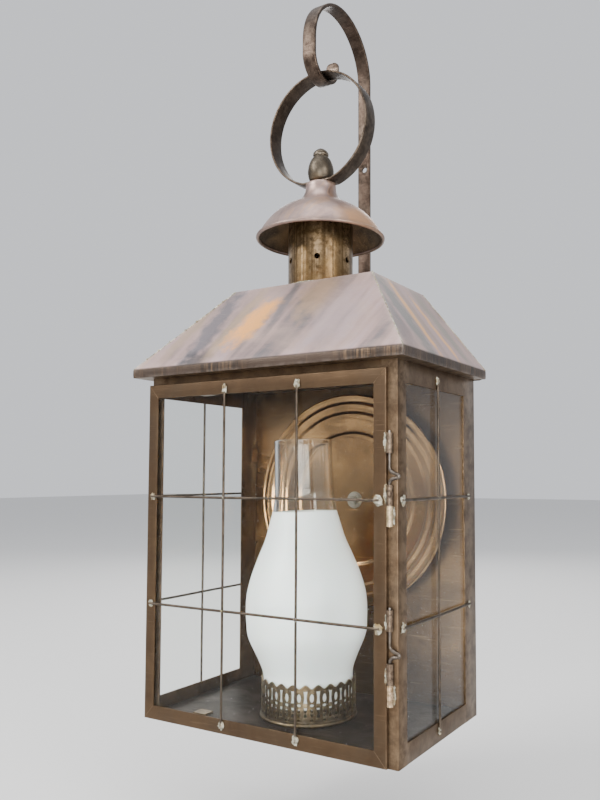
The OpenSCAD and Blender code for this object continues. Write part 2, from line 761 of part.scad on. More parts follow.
// A spun pan with a rolled bead, screwed to the floor by the nipple
module gallery_base() at_lamp(floor_top) brass() {
  bead_r = 2;
  rotate_extrude($fn = 96) {
    polygon([[nipple_r + fit, 0], [gallery_in, 0], [gallery_in, base_h - 2],
      [gallery_in - 6, base_h], [nipple_r + fit, base_h]]);
    translate([gallery_r - 0.8, bead_r]) circle(r = bead_r, $fn = 24);
  }
}

// The pierced band, its notched crown and the ledge that the chimney stands on
module lamp_gallery() at_lamp(0) brass() {
  base_z = floor_top + base_h;
  band_h = gallery_top - base_z;
  slot_w = 1.1 * PI * gallery_r / gallery_count;
  slot_reach = gallery_r + cut;
  difference() {
    translate([0, 0, base_z]) cylinder(r = gallery_r, h = band_h, $fn = 96);
    translate([0, 0, base_z - cut]) cylinder(r = gallery_in, h = band_h + 2 * cut, $fn = 96);
    for (i = [0:gallery_count / 2 - 1]) rotate([0, 0, i * 360 / gallery_count]) {
      translate([-slot_reach, -slot_w / 2, base_z + 0.1 * band_h])
        cube([2 * slot_reach, slot_w, 0.66 * band_h]);
      translate([-slot_reach, -slot_w / 2, gallery_top - 0.12 * band_h])
        cube([2 * slot_reach, slot_w, band_h]);
    }
  }
  translate([0, 0, ledge_z]) difference() {
    cylinder(r = gallery_in, h = gallery_t, $fn = 96);
    translate([0, 0, -cut]) cylinder(r = gallery_in - 6, h = gallery_t + 2 * cut, $fn = 96);
  }
}

module lamp_socket() at_lamp(socket_z) color("ivory") difference() {
  cylinder(r = socket_r, h = socket_h);
  translate([0, 0, -cut]) cylinder(r = nipple_r + fit, h = 8 + cut);
  translate([0, 0, socket_h - 21]) cylinder(r = bulb_cap_r + 0.2, h = 21 + cut);
}

module bulb_cap() at_lamp(bulb_seat_z) brass() {
  cylinder(r1 = 3, r2 = bulb_cap_r, h = 3);
  translate([0, 0, 3]) cylinder(r = bulb_cap_r, h = 18);
}

module light_bulb() at_lamp(bulb_seat_z + 21) color([1, 0.95, 0.85, 0.6])
  rotate_extrude() polygon(concat([[0, 0]], curve([[bulb_cap_r, 0], [0.55 * bulb_r, 7],
    [bulb_r, 24], [0.75 * bulb_r, 40], [0.35 * bulb_r, 50], [0.05, 54]], 5), [[0, 54]]));

// Outline of the chimney: [radius, height above its foot]
function neck_up(k) = chimney_socket_h + k * (chimney_h - chimney_socket_h);
chimney_outline = curve([[chimney_foot_r, 0], [chimney_foot_r, 0.7 * chimney_socket_h],
  [chimney_foot_r + 0.5, chimney_socket_h + 3], [0.815 * chimney_r, neck_up(0.07)],
  [0.965 * chimney_r, neck_up(0.16)], [0.995 * chimney_r, neck_up(0.223)],
  [chimney_r, neck_up(0.286)], [0.98 * chimney_r, neck_up(0.345)],
  [0.905 * chimney_r, neck_up(0.419)], [0.78 * chimney_r, neck_up(0.503)],
  [0.667 * chimney_r, neck_up(0.572)], [0.575 * chimney_r, neck_up(0.654)],
  [0.53 * chimney_r, neck_up(0.699)], [0.497 * chimney_r, neck_up(0.767)],
  [0.486 * chimney_r, neck_up(0.87)], [0.482 * chimney_r, chimney_h]], 3);

module glass_chimney() at_lamp(chimney_z) color([0.95, 0.95, 0.93, 0.8])
  rotate([0, -chimney_lean, 0]) rotate_extrude($fn = 96)
    polygon(concat(chimney_outline,
      reverse([for (p = chimney_outline) [p[0] - chimney_t, p[1]]])));

wall_crook();
ring_handle();
finial_nut();
cap_stud();
stud_nuts();
cap_spider();
vent_cap();
vent_collar();
roof_shell();
eave_plate();
front_left_post();
front_right_post();
rear_left_post();
rear_right_post();
front_header();
front_sill();
left_top_rail();
right_top_rail();
left_bottom_rail();
right_bottom_rail();
floor_pan();
back_panel();
reflector();
reflector_washers();
reflector_bolt();
reflector_nut();
cable_bushing();
left_glass();
right_glass();
left_glass_clips();
right_glass_clips();
left_guard_wires();
right_guard_wires();
post_knuckles();
spring_catches();
lamp_nipple();
lamp_lock_nut();
gallery_base();
lamp_gallery();
lamp_socket();
bulb_cap();
light_bulb();
glass_chimney();
door_frame();
door_glass();
door_glass_clips();
door_guard_wires();
upper_door_knuckles();
lower_door_knuckles();
catch_tongues();
upper_hinge_pin();
lower_hinge_pin();
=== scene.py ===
"""Wall-hung copper lantern: the visible pieces and finishes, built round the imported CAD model.

Lengths inside the builders are millimetres in the lantern's own frame (front bottom
centre of the glazed box); place() turns them into metres in the row frame.
"""
import json
import math

import bmesh
import bpy
from mathutils import Matrix, Vector, noise


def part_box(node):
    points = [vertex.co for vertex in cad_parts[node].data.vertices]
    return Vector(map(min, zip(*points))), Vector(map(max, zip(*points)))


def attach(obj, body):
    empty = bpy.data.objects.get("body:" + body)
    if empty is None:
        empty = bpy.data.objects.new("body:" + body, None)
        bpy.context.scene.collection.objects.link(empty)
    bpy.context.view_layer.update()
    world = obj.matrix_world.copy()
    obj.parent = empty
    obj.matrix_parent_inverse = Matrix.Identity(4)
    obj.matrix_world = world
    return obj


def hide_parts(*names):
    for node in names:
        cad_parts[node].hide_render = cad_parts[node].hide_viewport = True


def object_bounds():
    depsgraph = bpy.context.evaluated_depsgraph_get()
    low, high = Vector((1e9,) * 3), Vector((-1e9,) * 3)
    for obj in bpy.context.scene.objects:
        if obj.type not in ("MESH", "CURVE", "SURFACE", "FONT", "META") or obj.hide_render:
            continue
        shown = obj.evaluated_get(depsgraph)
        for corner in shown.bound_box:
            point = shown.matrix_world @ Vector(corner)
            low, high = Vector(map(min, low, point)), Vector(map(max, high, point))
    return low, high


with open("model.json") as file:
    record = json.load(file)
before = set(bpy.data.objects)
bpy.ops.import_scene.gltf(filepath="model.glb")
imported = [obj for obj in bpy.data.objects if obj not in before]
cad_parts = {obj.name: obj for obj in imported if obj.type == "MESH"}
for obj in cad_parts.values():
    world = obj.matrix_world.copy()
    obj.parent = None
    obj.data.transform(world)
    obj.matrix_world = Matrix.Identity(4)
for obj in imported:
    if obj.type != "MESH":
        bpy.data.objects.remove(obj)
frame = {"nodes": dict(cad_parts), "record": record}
CAD_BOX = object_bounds()

MM = 0.001
POST_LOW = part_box("front_left_post")[0]
ORIGIN = Vector((0.0, POST_LOW.y, POST_LOW.z))


def place(point):
    """A point of the lantern's frame, in mm, as a point of the row frame, in metres."""
    return ORIGIN + Vector(point) * MM


def local_box(node):
    """Lowest and highest corner of a CAD node in the lantern's frame, in mm."""
    low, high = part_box(node)
    return (low - ORIGIN) / MM, (high - ORIGIN) / MM


# ------------------------------------------------------------------ driving sizes

HALF_W, BODY_D, BODY_H = local_box("rear_right_post")[1]
REAR_FLANGE_Y = local_box("rear_left_post")[0].y
FLANGE = local_box("front_left_post")[1].x + HALF_W
ROOF_LOW, ROOF_HIGH = local_box("roof_shell")
FASCIA = 7.2
FASCIA_TOP = BODY_H + FASCIA
ROOF_RUN_SIDE = 57.7
ROOF_RUN_FRONT = 61.0
COLLAR_LOW, COLLAR_HIGH = local_box("vent_collar")
VENT_Y = (COLLAR_LOW.y + COLLAR_HIGH.y) / 2
COLLAR_R = 27.6
RING_LOW, RING_HIGH = local_box("ring_handle")
CAP_LOW, CAP_HIGH = local_box("vent_cap")
DOOR_LOW, DOOR_HIGH = local_box("door_frame")
GALLERY_LOW, GALLERY_HIGH = local_box("lamp_gallery")
LAMP_Y = (GALLERY_LOW.y + GALLERY_HIGH.y) / 2
FLOOR_TOP = local_box("floor_pan")[1].z
CHIMNEY_LEAN = math.radians(1.8)
CHIMNEY_FOOT_R = 36.2
SHEET = 0.8
WIRE_R = 1.0
WIRE_LEVELS = (0.335 * BODY_H, 0.648 * BODY_H)
HINGE_TUBE = 14.0

# ------------------------------------------------------------------ node helpers


def new_group(name, inputs, outputs):
    """A shader node group with named sockets: the group, its given values and its results."""
    group = bpy.data.node_groups.new(name, "ShaderNodeTree")
    kinds = {"f": "NodeSocketFloat", "c": "NodeSocketColor", "v": "NodeSocketVector"}
    for label, kind, default in inputs:
        socket = group.interface.new_socket(label, in_out="INPUT", socket_type=kinds[kind])
        socket.default_value = default
    for label, kind in outputs:
        group.interface.new_socket(label, in_out="OUTPUT", socket_type=kinds[kind])
    given, out = group.nodes.new("NodeGroupInput"), group.nodes.new("NodeGroupOutput")
    return group, given.outputs, out.inputs


class Net:
    """Short calls for building a node tree."""

    def __init__(self, tree):
        self.tree = tree

    def node(self, kind, **settings):
        made = self.tree.nodes.new(kind)
        for key, value in settings.items():
            setattr(made, key, value)
        return made

    def link(self, source, target):
        self.tree.links.new(source, target)

    def feed(self, value, target):
        """Links a socket, or sets a plain value."""
        if isinstance(value, bpy.types.NodeSocket):
            self.link(value, target)
        else:
            target.default_value = value

    def math(self, operation, a, b=0.0, clamp=False):
        made = self.node("ShaderNodeMath", operation=operation, use_clamp=clamp)
        self.feed(a, made.inputs[0])
        self.feed(b, made.inputs[1])
        return made.outputs[0]

    def where(self):
        """The place on the object, in its own frame."""
        return self.node("ShaderNodeTexCoord").outputs["Object"]

    def axes(self, vector):
        """The X, Y and Z of a vector."""
        made = self.node("ShaderNodeSeparateXYZ")
        self.link(vector, made.inputs[0])
        return made.outputs

    def times(self, a, b, clamp=False):
        return self.math("MULTIPLY", a, b, clamp)

    def plus(self, a, b):
        return self.math("ADD", a, b)

    def mix(self, share, a, b):
        made = self.node("ShaderNodeMix", data_type="RGBA")
        self.feed(share, made.inputs[0])
        self.feed(a, made.inputs[6])
        self.feed(b, made.inputs[7])
        return made.outputs[2]

    def span(self, value, low, high, to_low=0.0, to_high=1.0):
        made = self.node("ShaderNodeMapRange")
        self.feed(value, made.inputs[0])
        for slot, number in zip((1, 2, 3, 4), (low, high, to_low, to_high)):
            self.feed(number, made.inputs[slot])
        return made.outputs[0]

    def noise(self, vector, scale, detail=4.0, rough=0.55, distortion=0.0):
        made = self.node("ShaderNodeTexNoise")
        self.feed(vector, made.inputs["Vector"])
        self.feed(scale, made.inputs["Scale"])
        made.inputs["Detail"].default_value = detail
        made.inputs["Roughness"].default_value = rough
        made.inputs["Distortion"].default_value = distortion
        return made.outputs["Fac"]

    def ramp(self, value, stops):
        made = self.node("ShaderNodeValToRGB")
        self.feed(value, made.inputs[0])
        elements = made.color_ramp.elements
        while len(elements) < len(stops):
            elements.new(0.5)
        for element, (position, colour) in zip(elements, stops):
            element.position = position
            element.color = (*colour, 1.0)
        return made.outputs["Color"]

    def spot(self, vector, centre, reach, turn=0.0, ragged=0.5, scale=60.0):
        """A soft-edged patch round a place: reach is its half lengths, in metres."""
        made = self.node("ShaderNodeMapping", vector_type="TEXTURE")
        self.feed(vector, made.inputs["Vector"])
        made.inputs["Location"].default_value = centre
        made.inputs["Rotation"].default_value = (0, 0, math.radians(turn))
        made.inputs["Scale"].default_value = reach
        far = self.node("ShaderNodeVectorMath", operation="LENGTH")
        self.link(made.outputs["Vector"], far.inputs[0])
        uneven = self.times(self.noise(vector, scale, 5.0, 0.65), ragged * 2)
        edge = self.plus(far.outputs["Value"], uneven)
        return self.span(edge, 0.45 + ragged, 1.05 + ragged, 1.0, 0.0)

    def scaled(self, vector, scale, offset=(0, 0, 0)):
        made = self.node("ShaderNodeMapping")
        self.feed(vector, made.inputs["Vector"])
        made.inputs["Scale"].default_value = scale
        made.inputs["Location"].default_value = offset
        return made.outputs["Vector"]


def build_mottle():
    """Two tones of old metal, stained in patches and specked with dirt."""
    group, given, out = new_group(
        "mottled_patina",
        [("Light", "c", (0.5, 0.4, 0.3, 1)), ("Dark", "c", (0.2, 0.15, 0.1, 1)),
         ("Stain", "c", (0.3, 0.3, 0.3, 1)), ("Scale", "f", 30.0), ("Stain amount", "f", 0.5),
         ("Speck amount", "f", 0.3)],
        [("Color", "c"), ("Mask", "f"), ("Height", "f")])
    net = Net(group)
    where = net.where()
    broad = net.noise(where, given["Scale"], 7.0, 0.62, 0.6)
    tone = net.mix(net.span(broad, 0.36, 0.64), given["Dark"], given["Light"])
    patch_scale = net.times(given["Scale"], 0.41)
    patches = net.noise(net.scaled(where, (1, 1, 1), (3.1, 1.7, 0.9)), patch_scale, 5.0, 0.6, 1.2)
    stain = net.times(net.span(patches, 0.5, 0.66), given["Stain amount"])
    tone = net.mix(stain, tone, given["Stain"])
    fine_scale = net.times(given["Scale"], 14.0)
    fine = net.noise(where, fine_scale, 3.0, 0.7)
    specks = net.times(net.span(fine, 0.62, 0.72), given["Speck amount"])
    tone = net.mix(specks, tone, (0.04, 0.03, 0.025, 1))
    net.link(tone, out["Color"])
    net.link(broad, out["Mask"])
    net.link(net.plus(net.times(fine, 0.35), broad), out["Height"])
    return group


def build_wear():
    """Rubbed, brighter metal on the outer edges; breaks up so that it is not an outline."""
    group, given, out = new_group(
        "edge_wear", [("Amount", "f", 0.6), ("Scale", "f", 120.0)], [("Mask", "f")])
    net = Net(group)
    point = net.node("ShaderNodeNewGeometry").outputs["Pointiness"]
    where = net.where()
    broken = net.span(net.noise(where, given["Scale"], 4.0, 0.7), 0.38, 0.6)
    edge = net.span(point, 0.51, 0.58)
    mask = net.times(net.times(edge, broken), given["Amount"], True)
    net.link(mask, out["Mask"])
    return group


def build_scratches():
    """Fine scratches in two directions, as a mask."""
    group, given, out = new_group(
        "fine_scratches", [("Scale", "f", 60.0), ("Amount", "f", 0.5)], [("Mask", "f")])
    net = Net(group)
    where = net.where()
    total = None
    for turn, stretch in ((0.5, 26.0), (-0.9, 34.0), (1.3, 22.0)):
        mapped = net.node("ShaderNodeMapping")
        net.link(where, mapped.inputs["Vector"])
        mapped.inputs["Rotation"].default_value = (turn, turn * 0.7, turn)
        mapped.inputs["Scale"].default_value = (1.0, stretch, stretch)
        lines = net.noise(mapped.outputs["Vector"], given["Scale"], 2.0, 0.5)
        sharp = net.span(lines, 0.66, 0.74)
        total = sharp if total is None else net.math("MAXIMUM", total, sharp)
    mask = net.times(total, given["Amount"], True)
    net.link(mask, out["Mask"])
    return group


def build_runoff():
    """Run-off streaks straight down the slopes: a value across them, for front or side."""
    group, given, out = new_group(
        "run_off_streaks",
        [("Across", "f", 60.0), ("Down", "f", 8.0), ("Wander", "f", 0.5), ("Seed", "f", 0.0)],
        [("Value", "f")])
    net = Net(group)
    coordinates = net.node("ShaderNodeTexCoord")
    where = coordinates.outputs["Object"]
    parts = net.axes(where)
    facing = net.axes(coordinates.outputs["Normal"])
    sideways = net.math("GREATER_THAN", net.math("ABSOLUTE", facing["X"]),
                        net.math("ABSOLUTE", facing["Y"]))
    across = net.node("ShaderNodeMix", data_type="FLOAT")
    net.link(sideways, across.inputs[0])
    net.link(parts["X"], across.inputs[2])
    net.link(parts["Y"], across.inputs[3])
    leaning = net.plus(across.outputs[0], net.times(parts["Z"], -0.35))
    bend = net.times(net.noise(where, 18.0, 3.0, 0.5), given["Wander"])
    joined = net.node("ShaderNodeCombineXYZ")
    net.link(net.plus(net.times(leaning, given["Across"]), bend), joined.inputs["X"])
    net.link(net.times(parts["Z"], given["Down"]), joined.inputs["Y"])
    net.link(net.plus(given["Seed"], net.times(sideways, 5.3)), joined.inputs["Z"])
    net.link(net.noise(joined.outputs[0], 1.0, 3.0, 0.5), out["Value"])
    return group


MOTTLE = build_mottle()
WEAR = build_wear()
SCRATCHES = build_scratches()
RUNOFF = build_runoff()


class Finish(Net):
    """A material with one Principled shader, built up from the shared groups."""

    def __init__(self, name, metallic=0.0, **plain):
        self.material = bpy.data.materials.new(name)
        self.material.use_nodes = True
        super().__init__(self.material.node_tree)
        self.shader = self.tree.nodes["Principled BSDF"]
        self.output = self.tree.nodes["Material Output"]
        self.shader.inputs["Metallic"].default_value = metallic
        for label, value in plain.items():
            self.shader.inputs[label.replace("_", " ")].default_value = value

    def use(self, group, **values):
        made = self.node("ShaderNodeGroup")
        made.node_tree = group
        for label, value in values.items():
            self.feed(value, made.inputs[label.replace("_", " ")])
        return made.outputs

    def set(self, label, source):
        self.feed(source, self.shader.inputs[label])

    def bump(self, height, strength, distance):
        made = self.node("ShaderNodeBump")
        made.inputs["Strength"].default_value = strength
        made.inputs["Distance"].default_value = distance
        self.link(height, made.inputs["Height"])
        self.link(made.outputs["Normal"], self.shader.inputs["Normal"])


def old_metal(name, light, dark, stain, scale=34.0, stain_amount=0.5, specks=0.35,
              rough=(0.34, 0.58), wear=0.6, bright=(0.75, 0.56, 0.38), metallic=0.9,
              scratch=0.25, bump=0.25):
    """Aged copper or brass: mottled tone, rubbed edges, scratches and uneven gloss."""
    finish = Finish(name, metallic)
    patina = finish.use(MOTTLE, Light=(*light, 1), Dark=(*dark, 1), Stain=(*stain, 1),
                        Scale=scale, Stain_amount=stain_amount, Speck_amount=specks)
    worn = finish.use(WEAR, Amount=wear, Scale=scale * 4)["Mask"]
    lines = finish.use(SCRATCHES, Scale=scale * 1.6, Amount=scratch)["Mask"]
    rubbed = finish.math("MAXIMUM", worn, lines)
    finish.set("Base Color", finish.mix(rubbed, patina["Color"], (*bright, 1)))
    gloss = finish.span(patina["Mask"], 0.3, 0.7, rough[1], rough[0])
    finish.set("Roughness", finish.math("SUBTRACT", gloss, finish.times(rubbed, 0.12)))
    finish.bump(patina["Height"], bump, 0.0006)
    return finish.material


def roof_metal():
    """Heat-coloured roof copper: mauve, with tan and blue-grey streaks and orange patches."""
    finish = Finish("roof_copper", 0.7)
    where = finish.where()
    broad = finish.use(RUNOFF, Across=34.0, Down=9.0, Wander=1.3, Seed=2.35)["Value"]
    thin = finish.use(RUNOFF, Across=190.0, Down=12.0, Wander=1.0, Seed=7.1)["Value"]
    blended = finish.plus(finish.times(broad, 0.8), finish.times(thin, 0.2))
    tone = finish.ramp(blended, [
        (0.33, (0.17, 0.155, 0.16)), (0.40, (0.25, 0.19, 0.185)), (0.47, (0.36, 0.255, 0.24)),
        (0.54, (0.40, 0.29, 0.29)), (0.60, (0.34, 0.27, 0.275)), (0.66, (0.46, 0.30, 0.20))])
    cloud = finish.noise(where, 22.0, 6.0, 0.6, 0.8)
    tone = finish.mix(finish.span(cloud, 0.42, 0.68), tone, (0.43, 0.31, 0.27, 1))
    # dark blue-grey runs; tan and orange patches where the metal shows through
    marks = (
        ((-66, 20, 320), (13, 46, 400), -6.0, (0.13, 0.125, 0.14), 0.85),
        ((-60, -9, 288), (17, 9, 400), 0.0, (0.05, 0.05, 0.055), 0.75),
        ((-3, 34, 338), (6, 30, 400), -5.0, (0.15, 0.14, 0.145), 0.75),
        ((-90, 20, 320), (9, 44, 400), -18.0, (0.36, 0.27, 0.19), 0.6),
        ((-42, 20, 320), (9, 40, 400), -16.0, (0.42, 0.30, 0.20), 0.7),
        ((-25, 18, 318), (15, 25, 400), -36.0, (0.84, 0.40, 0.12), 1.0),
        ((24, 36, 338), (24, 20, 400), -50.0, (0.52, 0.35, 0.22), 0.6),
        ((56, 14, 315), (26, 30, 400), 0.0, (0.37, 0.30, 0.32), 0.5),
        ((98, 44, 318), (48, 13, 400), -21.0, (0.17, 0.18, 0.17), 0.8),
        ((96, 62, 318), (40, 5.0, 400), -21.0, (0.76, 0.42, 0.17), 0.85),
        ((98, 72, 318), (44, 6, 400), -16.0, (0.30, 0.22, 0.18), 0.7),
        ((104, 90, 312), (36, 5.0, 400), -12.0, (0.74, 0.41, 0.17), 0.8),
        ((98, 112, 318), (44, 11, 400), -8.0, (0.25, 0.23, 0.19), 0.7),
        ((-98, 66, 318), (40, 5, 400), 18.0, (0.70, 0.40, 0.18), 0.8),
        ((-98, 98, 318), (40, 10, 400), 8.0, (0.19, 0.19, 0.19), 0.7),
    )
    for centre, reach, turn, colour, amount in marks:
        spot = finish.spot(where, tuple(place(centre)), tuple(MM * r for r in reach), turn,
                           0.8, 85.0)
        tone = finish.mix(finish.times(spot, amount), tone, (*colour, 1))
    grain = finish.noise(where, 900.0, 3.0, 0.7)
    specks = finish.times(finish.span(grain, 0.66, 0.74), 0.3)
    tone = finish.mix(specks, tone, (0.10, 0.07, 0.05, 1))
    parts = finish.axes(where)
    low, high = place((0, 0, FASCIA_TOP - 0.4)).z, place((0, 0, FASCIA_TOP + 1.0)).z
    below = finish.span(parts["Z"], low, high, 1.0, 0.0)
    drips = finish.noise(finish.scaled(where, (420, 420, 20)), 1.0, 3.0, 0.6)
    blots = finish.span(finish.noise(where, 26.0, 4.0, 0.6), 0.42, 0.6)
    brown = finish.ramp(drips, [(0.40, (0.013, 0.009, 0.006)), (0.52, (0.034, 0.021, 0.012)),
                                (0.66, (0.11, 0.066, 0.034))])
    brown = finish.mix(blots, brown, (0.042, 0.027, 0.018, 1))
    tone = finish.mix(finish.times(below, 0.98), tone, brown)
    lines = finish.use(SCRATCHES, Scale=90.0, Amount=0.3)["Mask"]
    worn = finish.use(WEAR, Amount=0.8, Scale=140.0)["Mask"]
    above = finish.math("SUBTRACT", 1.0, finish.times(below, 0.8))
    rubbed = finish.times(finish.math("MAXIMUM", worn, lines), above)
    finish.set("Base Color", finish.mix(rubbed, tone, (0.60, 0.50, 0.43, 1)))
    finish.set("Roughness", finish.span(blended, 0.35, 0.68, 0.38, 0.52))
    finish.bump(finish.plus(grain, cloud), 0.22, 0.0006)
    return finish.material


def cap_metal():
    """The vent cap: mauve brown copper with cloudy blue-grey and tan stains."""
    finish = Finish("cap_copper", 0.82)
    where = finish.where()
    runs = finish.use(RUNOFF, Across=70.0, Down=26.0, Wander=2.2, Seed=5.2)["Value"]
    tone = finish.ramp(runs, [
        (0.34, (0.10, 0.09, 0.095)), (0.42, (0.22, 0.165, 0.16)), (0.50, (0.31, 0.215, 0.19)),
        (0.57, (0.25, 0.20, 0.20)), (0.64, (0.40, 0.25, 0.17)), (0.70, (0.16, 0.11, 0.09))])
    patina = finish.use(MOTTLE, Light=(0.40, 0.28, 0.23, 1), Dark=(0.17, 0.115, 0.095, 1),
                        Stain=(0.14, 0.13, 0.145, 1), Scale=52.0, Stain_amount=0.6,
                        Speck_amount=0.3)
    tone = finish.mix(0.45, tone, patina["Color"])
    warm = finish.spot(where, tuple(place((46, VENT_Y - 10, 404))), (0.022, 0.03, 0.02), 0.0)
    tone = finish.mix(finish.times(warm, 0.7), tone, (0.50, 0.27, 0.12, 1))
    parts = finish.axes(where)
    rim_z = place((0, 0, CAP_LOW.z)).z
    rim = finish.span(parts["Z"], rim_z + 0.002, rim_z + 0.006, 1.0, 0.0)
    tone = finish.mix(finish.times(rim, 0.45), tone, (0.15, 0.10, 0.08, 1))
    worn = finish.use(WEAR, Amount=0.6, Scale=160.0)["Mask"]
    finish.set("Base Color", finish.mix(worn, tone, (0.60, 0.46, 0.36, 1)))
    finish.set("Roughness", finish.span(patina["Mask"], 0.3, 0.7, 0.5, 0.33))
    finish.bump(patina["Height"], 0.22, 0.0005)
    return finish.material


def solder():
    """Old solder: dull grey-white, chalky, with green and yellow stains."""
    finish = Finish("old_solder", 0.25)
    patina = finish.use(MOTTLE, Light=(0.50, 0.48, 0.39, 1), Dark=(0.085, 0.078, 0.05, 1),
                        Stain=(0.24, 0.16, 0.06, 1), Scale=300.0, Stain_amount=0.85,
                        Speck_amount=0.7)
    finish.set("Base Color", patina["Color"])
    finish.set("Roughness", finish.span(patina["Mask"], 0.3, 0.7, 0.8, 0.5))
    finish.bump(patina["Height"], 0.6, 0.0006)
    return finish.material


def let_lamps_through(finish):
    """Light from lamps passes the glass, so that what stands behind it is lit."""
    clear = finish.node("ShaderNodeBsdfTransparent")
    clear.inputs["Color"].default_value = (0.97, 0.98, 0.97, 1)
    path = finish.node("ShaderNodeLightPath")
    either = finish.math("MAXIMUM", path.outputs["Is Shadow Ray"], path.outputs["Is Diffuse Ray"])
    chosen = finish.node("ShaderNodeMixShader")
    finish.link(either, chosen.inputs[0])
    finish.link(finish.shader.outputs[0], chosen.inputs[1])
    finish.link(clear.outputs[0], chosen.inputs[2])
    finish.link(chosen.outputs[0], finish.output.inputs["Surface"])


def pane_glass():
    """Old window glass: clear, faintly wavy, with dust and dried specks.

    The IOR is below real glass's, so that the pale studio's reflection doesn't hide the inside."""
    finish = Finish("pane_glass", 0.0, Transmission_Weight=1.0, IOR=1.18)
    where = finish.where()
    dust = finish.noise(where, 900.0, 2.0, 0.6)
    specks = finish.span(dust, 0.72, 0.76)
    smear = finish.span(finish.noise(finish.scaled(where, (1, 1, 0.3)), 38.0, 5.0, 0.6), 0.5, 0.8)
    finish.set("Base Color", finish.mix(specks, (0.97, 0.985, 0.975, 1), (0.75, 0.73, 0.66, 1)))
    finish.set("Roughness", finish.plus(finish.times(specks, 0.5), finish.times(smear, 0.05)))
    finish.bump(finish.noise(where, 16.0, 2.0, 0.5), 0.08, 0.002)
    let_lamps_through(finish)
    return finish.material


def chimney_clear_glass():
    """The clear neck of the chimney: lamp glass, a little dusty, its grazing edges darkened with
    painted shade for an outline; its IOR is eased down too.
    """
    finish = Finish("chimney_clear", 0.0, Transmission_Weight=1.0, IOR=1.4)
    where = finish.where()
    dust = finish.span(finish.noise(where, 60.0, 6.0, 0.7), 0.5, 0.8)
    tint = finish.mix(dust, (0.99, 0.985, 0.97, 1), (0.93, 0.91, 0.86, 1))
    # painted shade: the base colour darkens where the glass is seen edge-on, standing in for its
    # refracted outline
    painted_outline_weight = finish.node("ShaderNodeLayerWeight")
    painted_outline_weight.inputs["Blend"].default_value = 0.4
    edge = finish.span(painted_outline_weight.outputs["Facing"], 0.5, 0.9)
    finish.set("Base Color", finish.mix(edge, tint, (0.24, 0.22, 0.19, 1)))
    finish.set("Roughness", finish.span(dust, 0.0, 1.0, 0.02, 0.12))
    let_lamps_through(finish)
    return finish.material


def opal_glass():
    """The satin white bowl of the chimney, darkened towards the foot with painted shade."""
    finish = Finish("chimney_opal", 0.0, Subsurface_Weight=0.2, Subsurface_Scale=0.01,
                    IOR=1.5, Coat_Weight=0.1, Coat_Roughness=0.3)
    where = finish.where()
    parts = finish.axes(where)
    # painted shade: the bowl's white darkens towards its foot, broken up by a cloudy noise
    foot = finish.span(parts["Z"], place((0, 0, 30)).z, place((0, 0, 110)).z, 1.0, 0.0)
    cloud = finish.noise(where, 46.0, 5.0, 0.6)
    painted_foot_shade = finish.times(finish.times(foot, cloud), 0.6, True)
    finish.set("Base Color", finish.mix(painted_foot_shade, (0.975, 0.975, 0.96, 1), (0.76, 0.77, 0.74, 1)))
    finish.set("Roughness", finish.span(cloud, 0.3, 0.7, 0.36, 0.5))
    finish.bump(finish.noise(where, 1400.0, 2.0, 0.5), 0.06, 0.0003)
    return finish.material


def plain_surface(name, colour, rough, scale, metallic=0.0, depth=0.0004):
    """A small part's plain finish with a little tone and grain."""
    finish = Finish(name, metallic)
    dark = tuple(0.6 * c for c in colour)
    patina = finish.use(MOTTLE, Light=(*colour, 1), Dark=(*dark, 1), Stain=(*dark, 1),
                        Scale=scale, Stain_amount=0.3, Speck_amount=0.2)
    finish.set("Base Color", patina["Color"])
    finish.set("Roughness", finish.span(patina["Mask"], 0.3, 0.7, rough + 0.08, rough - 0.08))
    finish.bump(patina["Height"], 0.2, depth)
    return finish.material


def pale_stage():
    finish = Finish("pale_floor")
    finish.set("Base Color", (0.66, 0.66, 0.655, 1))
    finish.set("Roughness", 0.85)
    return finish.material


